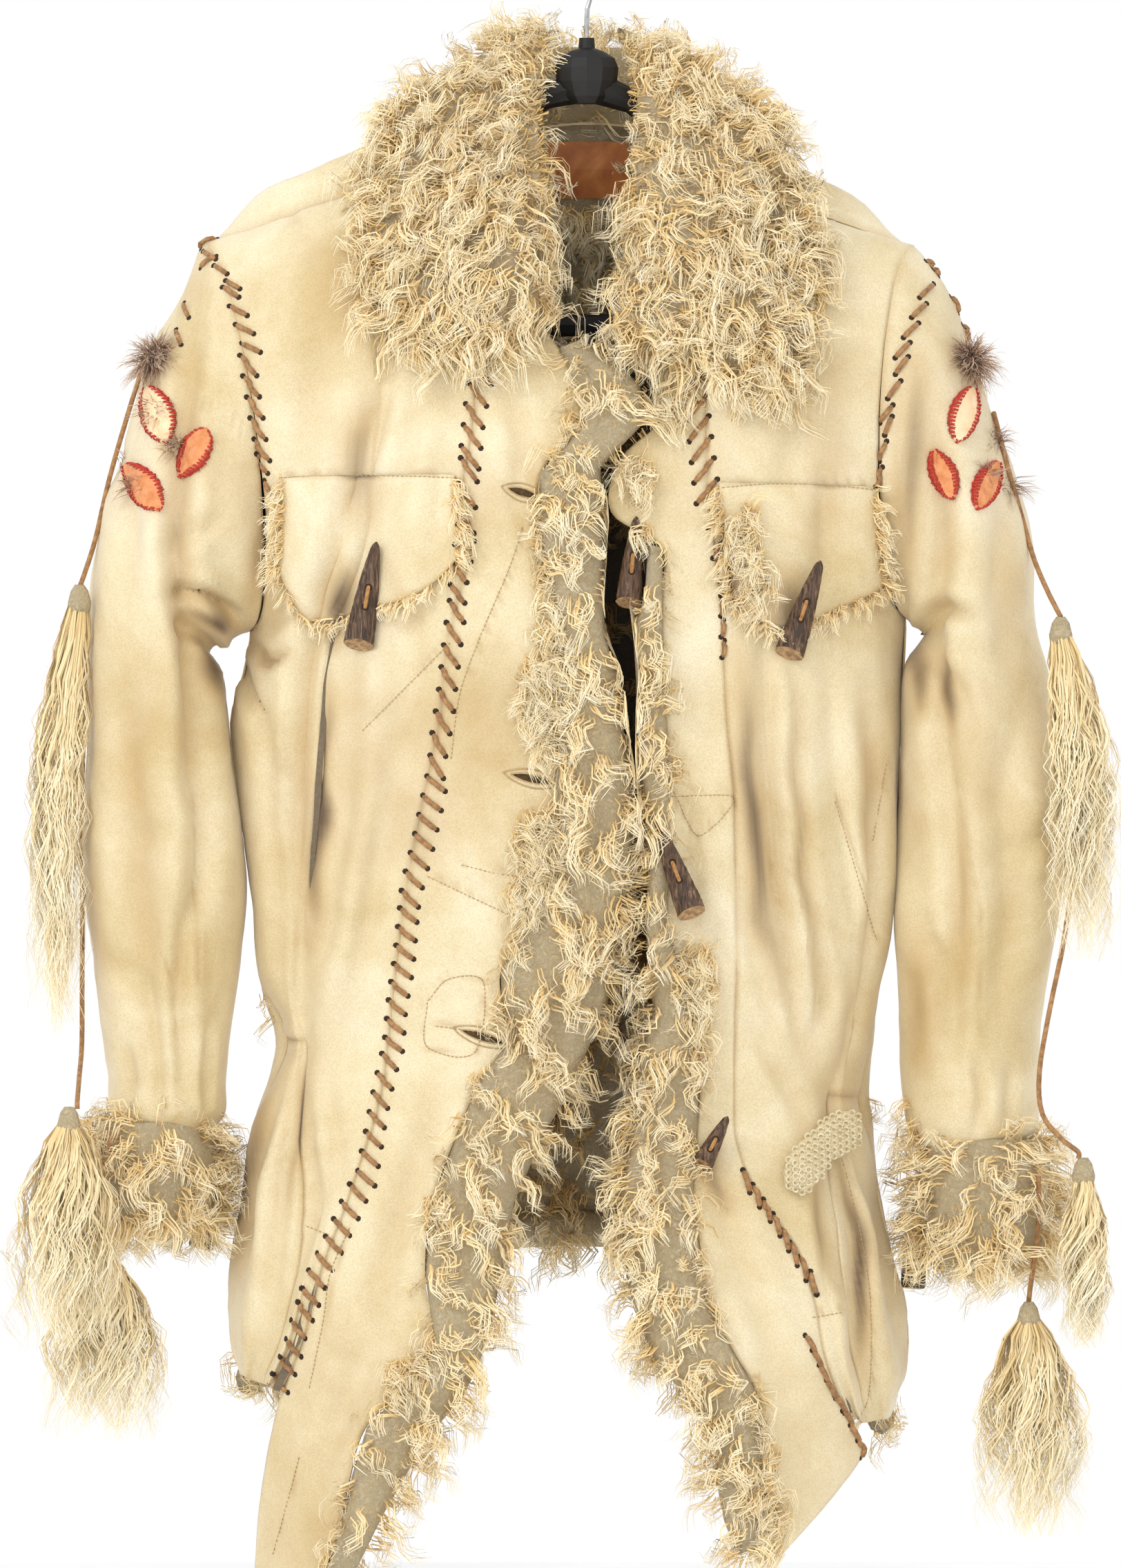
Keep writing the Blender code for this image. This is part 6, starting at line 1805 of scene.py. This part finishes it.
def wisps():
    rng = np.random.default_rng(181)
    points = []
    normals = []
    aims = []
    for x, z, size in WISPS:
        for _ in range(24):
            radius = size * 0.5 * math.sqrt(rng.random())
            turn = rng.uniform(0, 2 * math.pi)
            found = cloth_at(x + radius * math.cos(turn), z + radius * math.sin(turn))
            if found:
                points.append(found[0])
                normals.append(found[1])
                aims.append((math.cos(turn), -0.1, -math.sin(turn)))
    points, normals, aims = np.array(points), np.array(normals), np.array(aims)
    paths = curls(points, normals, aims, 0.014, 0.0012, 0.5, 5, 4, rng, 0.25, 0.003)
    lock_strands("leaf_wisps", paths, normals, 0.00026, PUFF_WOOL, "puff", rng)


wisps()


# Knitted tie: loops of yarn over the CAD solid's own form, all in metres
YARN_STEP = 0.0042
YARN_LOOP = 0.0019
YARN_RADIUS = 0.0008


def waist_tie():
    body, triangles = shrunk("waist_tie", 0.001)
    base = new_object("waist_tie_base", body, triangles, [KNIT])
    dress(base, "knit", "waist_tie")
    tree = BVHTree.FromPolygons(body.tolist(), triangles.tolist())
    bundle = Bundle()
    turn = np.linspace(0, 2 * np.pi, 10)
    circle = np.stack([np.cos(turn), 0 * turn, np.sin(turn)], 1)
    low, high = body.min(0), body.max(0)
    for row in np.arange(low[2], high[2], YARN_STEP):
        for step, px in enumerate(np.arange(low[0], high[0], YARN_STEP)):
            pz = row + (YARN_STEP / 2 if step % 2 else 0)
            hit, normal, _, _ = tree.ray_cast(Vector((px, IN_FRONT_MM / 1000, pz)), TO_THE_BACK)
            if hit is not None:
                bundle.tube(np.array(hit) + np.array(normal) * 0.0006 + YARN_LOOP * circle, YARN_RADIUS, 6)
    bundle.build("waist_tie_knit", KNIT, "knit")


waist_tie()

# Hide panels with their cut: width and length cut in metres, area cut, how it is held and what holds it; the
# loop reads only the names, to name each panel and hide its solid
CLOTHS = {
    "back": (0.56, 0.76, 0.400, "hung", ["hanger"]),
    "side_front_left": (0.18, 0.72, 0.108, "hung", ["hanger"]),
    "side_front_right": (0.17, 0.72, 0.098, "hung", ["hanger"]),
    "centre_front_left": (0.14, 0.94, 0.068, "hung", ["hanger"]),
    "centre_front_right": (0.10, 0.92, 0.045, "hung", ["hanger"]),
    "peplum_left": (0.10, 0.19, 0.018, "gathered", ["side_front_left"]),
    "peplum_right": (0.10, 0.19, 0.017, "gathered", ["side_front_right"]),
    "sleeve_left": (0.38, 0.56, 0.180, "hung", ["back"]),
    "sleeve_right": (0.38, 0.56, 0.180, "hung", ["back"]),
    "yoke_left": (0.13, 0.10, 0.0112, "hung", ["side_front_left"]),
    "yoke_right": (0.11, 0.09, 0.0084, "hung", ["side_front_right"]),
}
for panel_name, (wide, long, area, held, holders) in CLOTHS.items():
    panel = PANELS[panel_name]
    panel.name = panel_name + "_hide"
    dress(panel, "hide", panel_name)


# Backdrop, floor and light
FLOOR_Z = -1.32
# Lights: place, size and power
LIGHTS = {
    "key": ((-1.5, -2.2, 1.1), 1.0, 20),
    "front": ((0.4, -3.4, 0.0), 1.8, 12),
}
AIM = Vector((0, 0, -0.5))


def stage():
    corners = [(x, y, FLOOR_Z) for x, y in ((-6, -12), (6, -12), (6, 4), (-6, 4))]
    white = plain_finish("floor_white", "f4f4f4", "ffffff", 3, 0.9, 0.0001)
    new_object("floor", corners, [(0, 1, 2, 3)], [white])
    world = bpy.data.worlds.new("studio")
    world.use_nodes = True
    background = world.node_tree.nodes["Background"]
    background.inputs["Color"].default_value = (1, 1, 1, 1)
    background.inputs["Strength"].default_value = 0.84
    bpy.context.scene.world = world
    for name, (place, size, power) in LIGHTS.items():
        data = bpy.data.lights.new(name, "AREA")
        data.energy = power
        data.size = size
        obj = add(name, data)
        obj.location = place
        obj.rotation_euler = (AIM - Vector(place)).to_track_quat("-Z", "Y").to_euler()
    bpy.context.scene.view_settings.view_transform = "Standard"
    bpy.context.scene.view_settings.exposure = 0.26


stage()
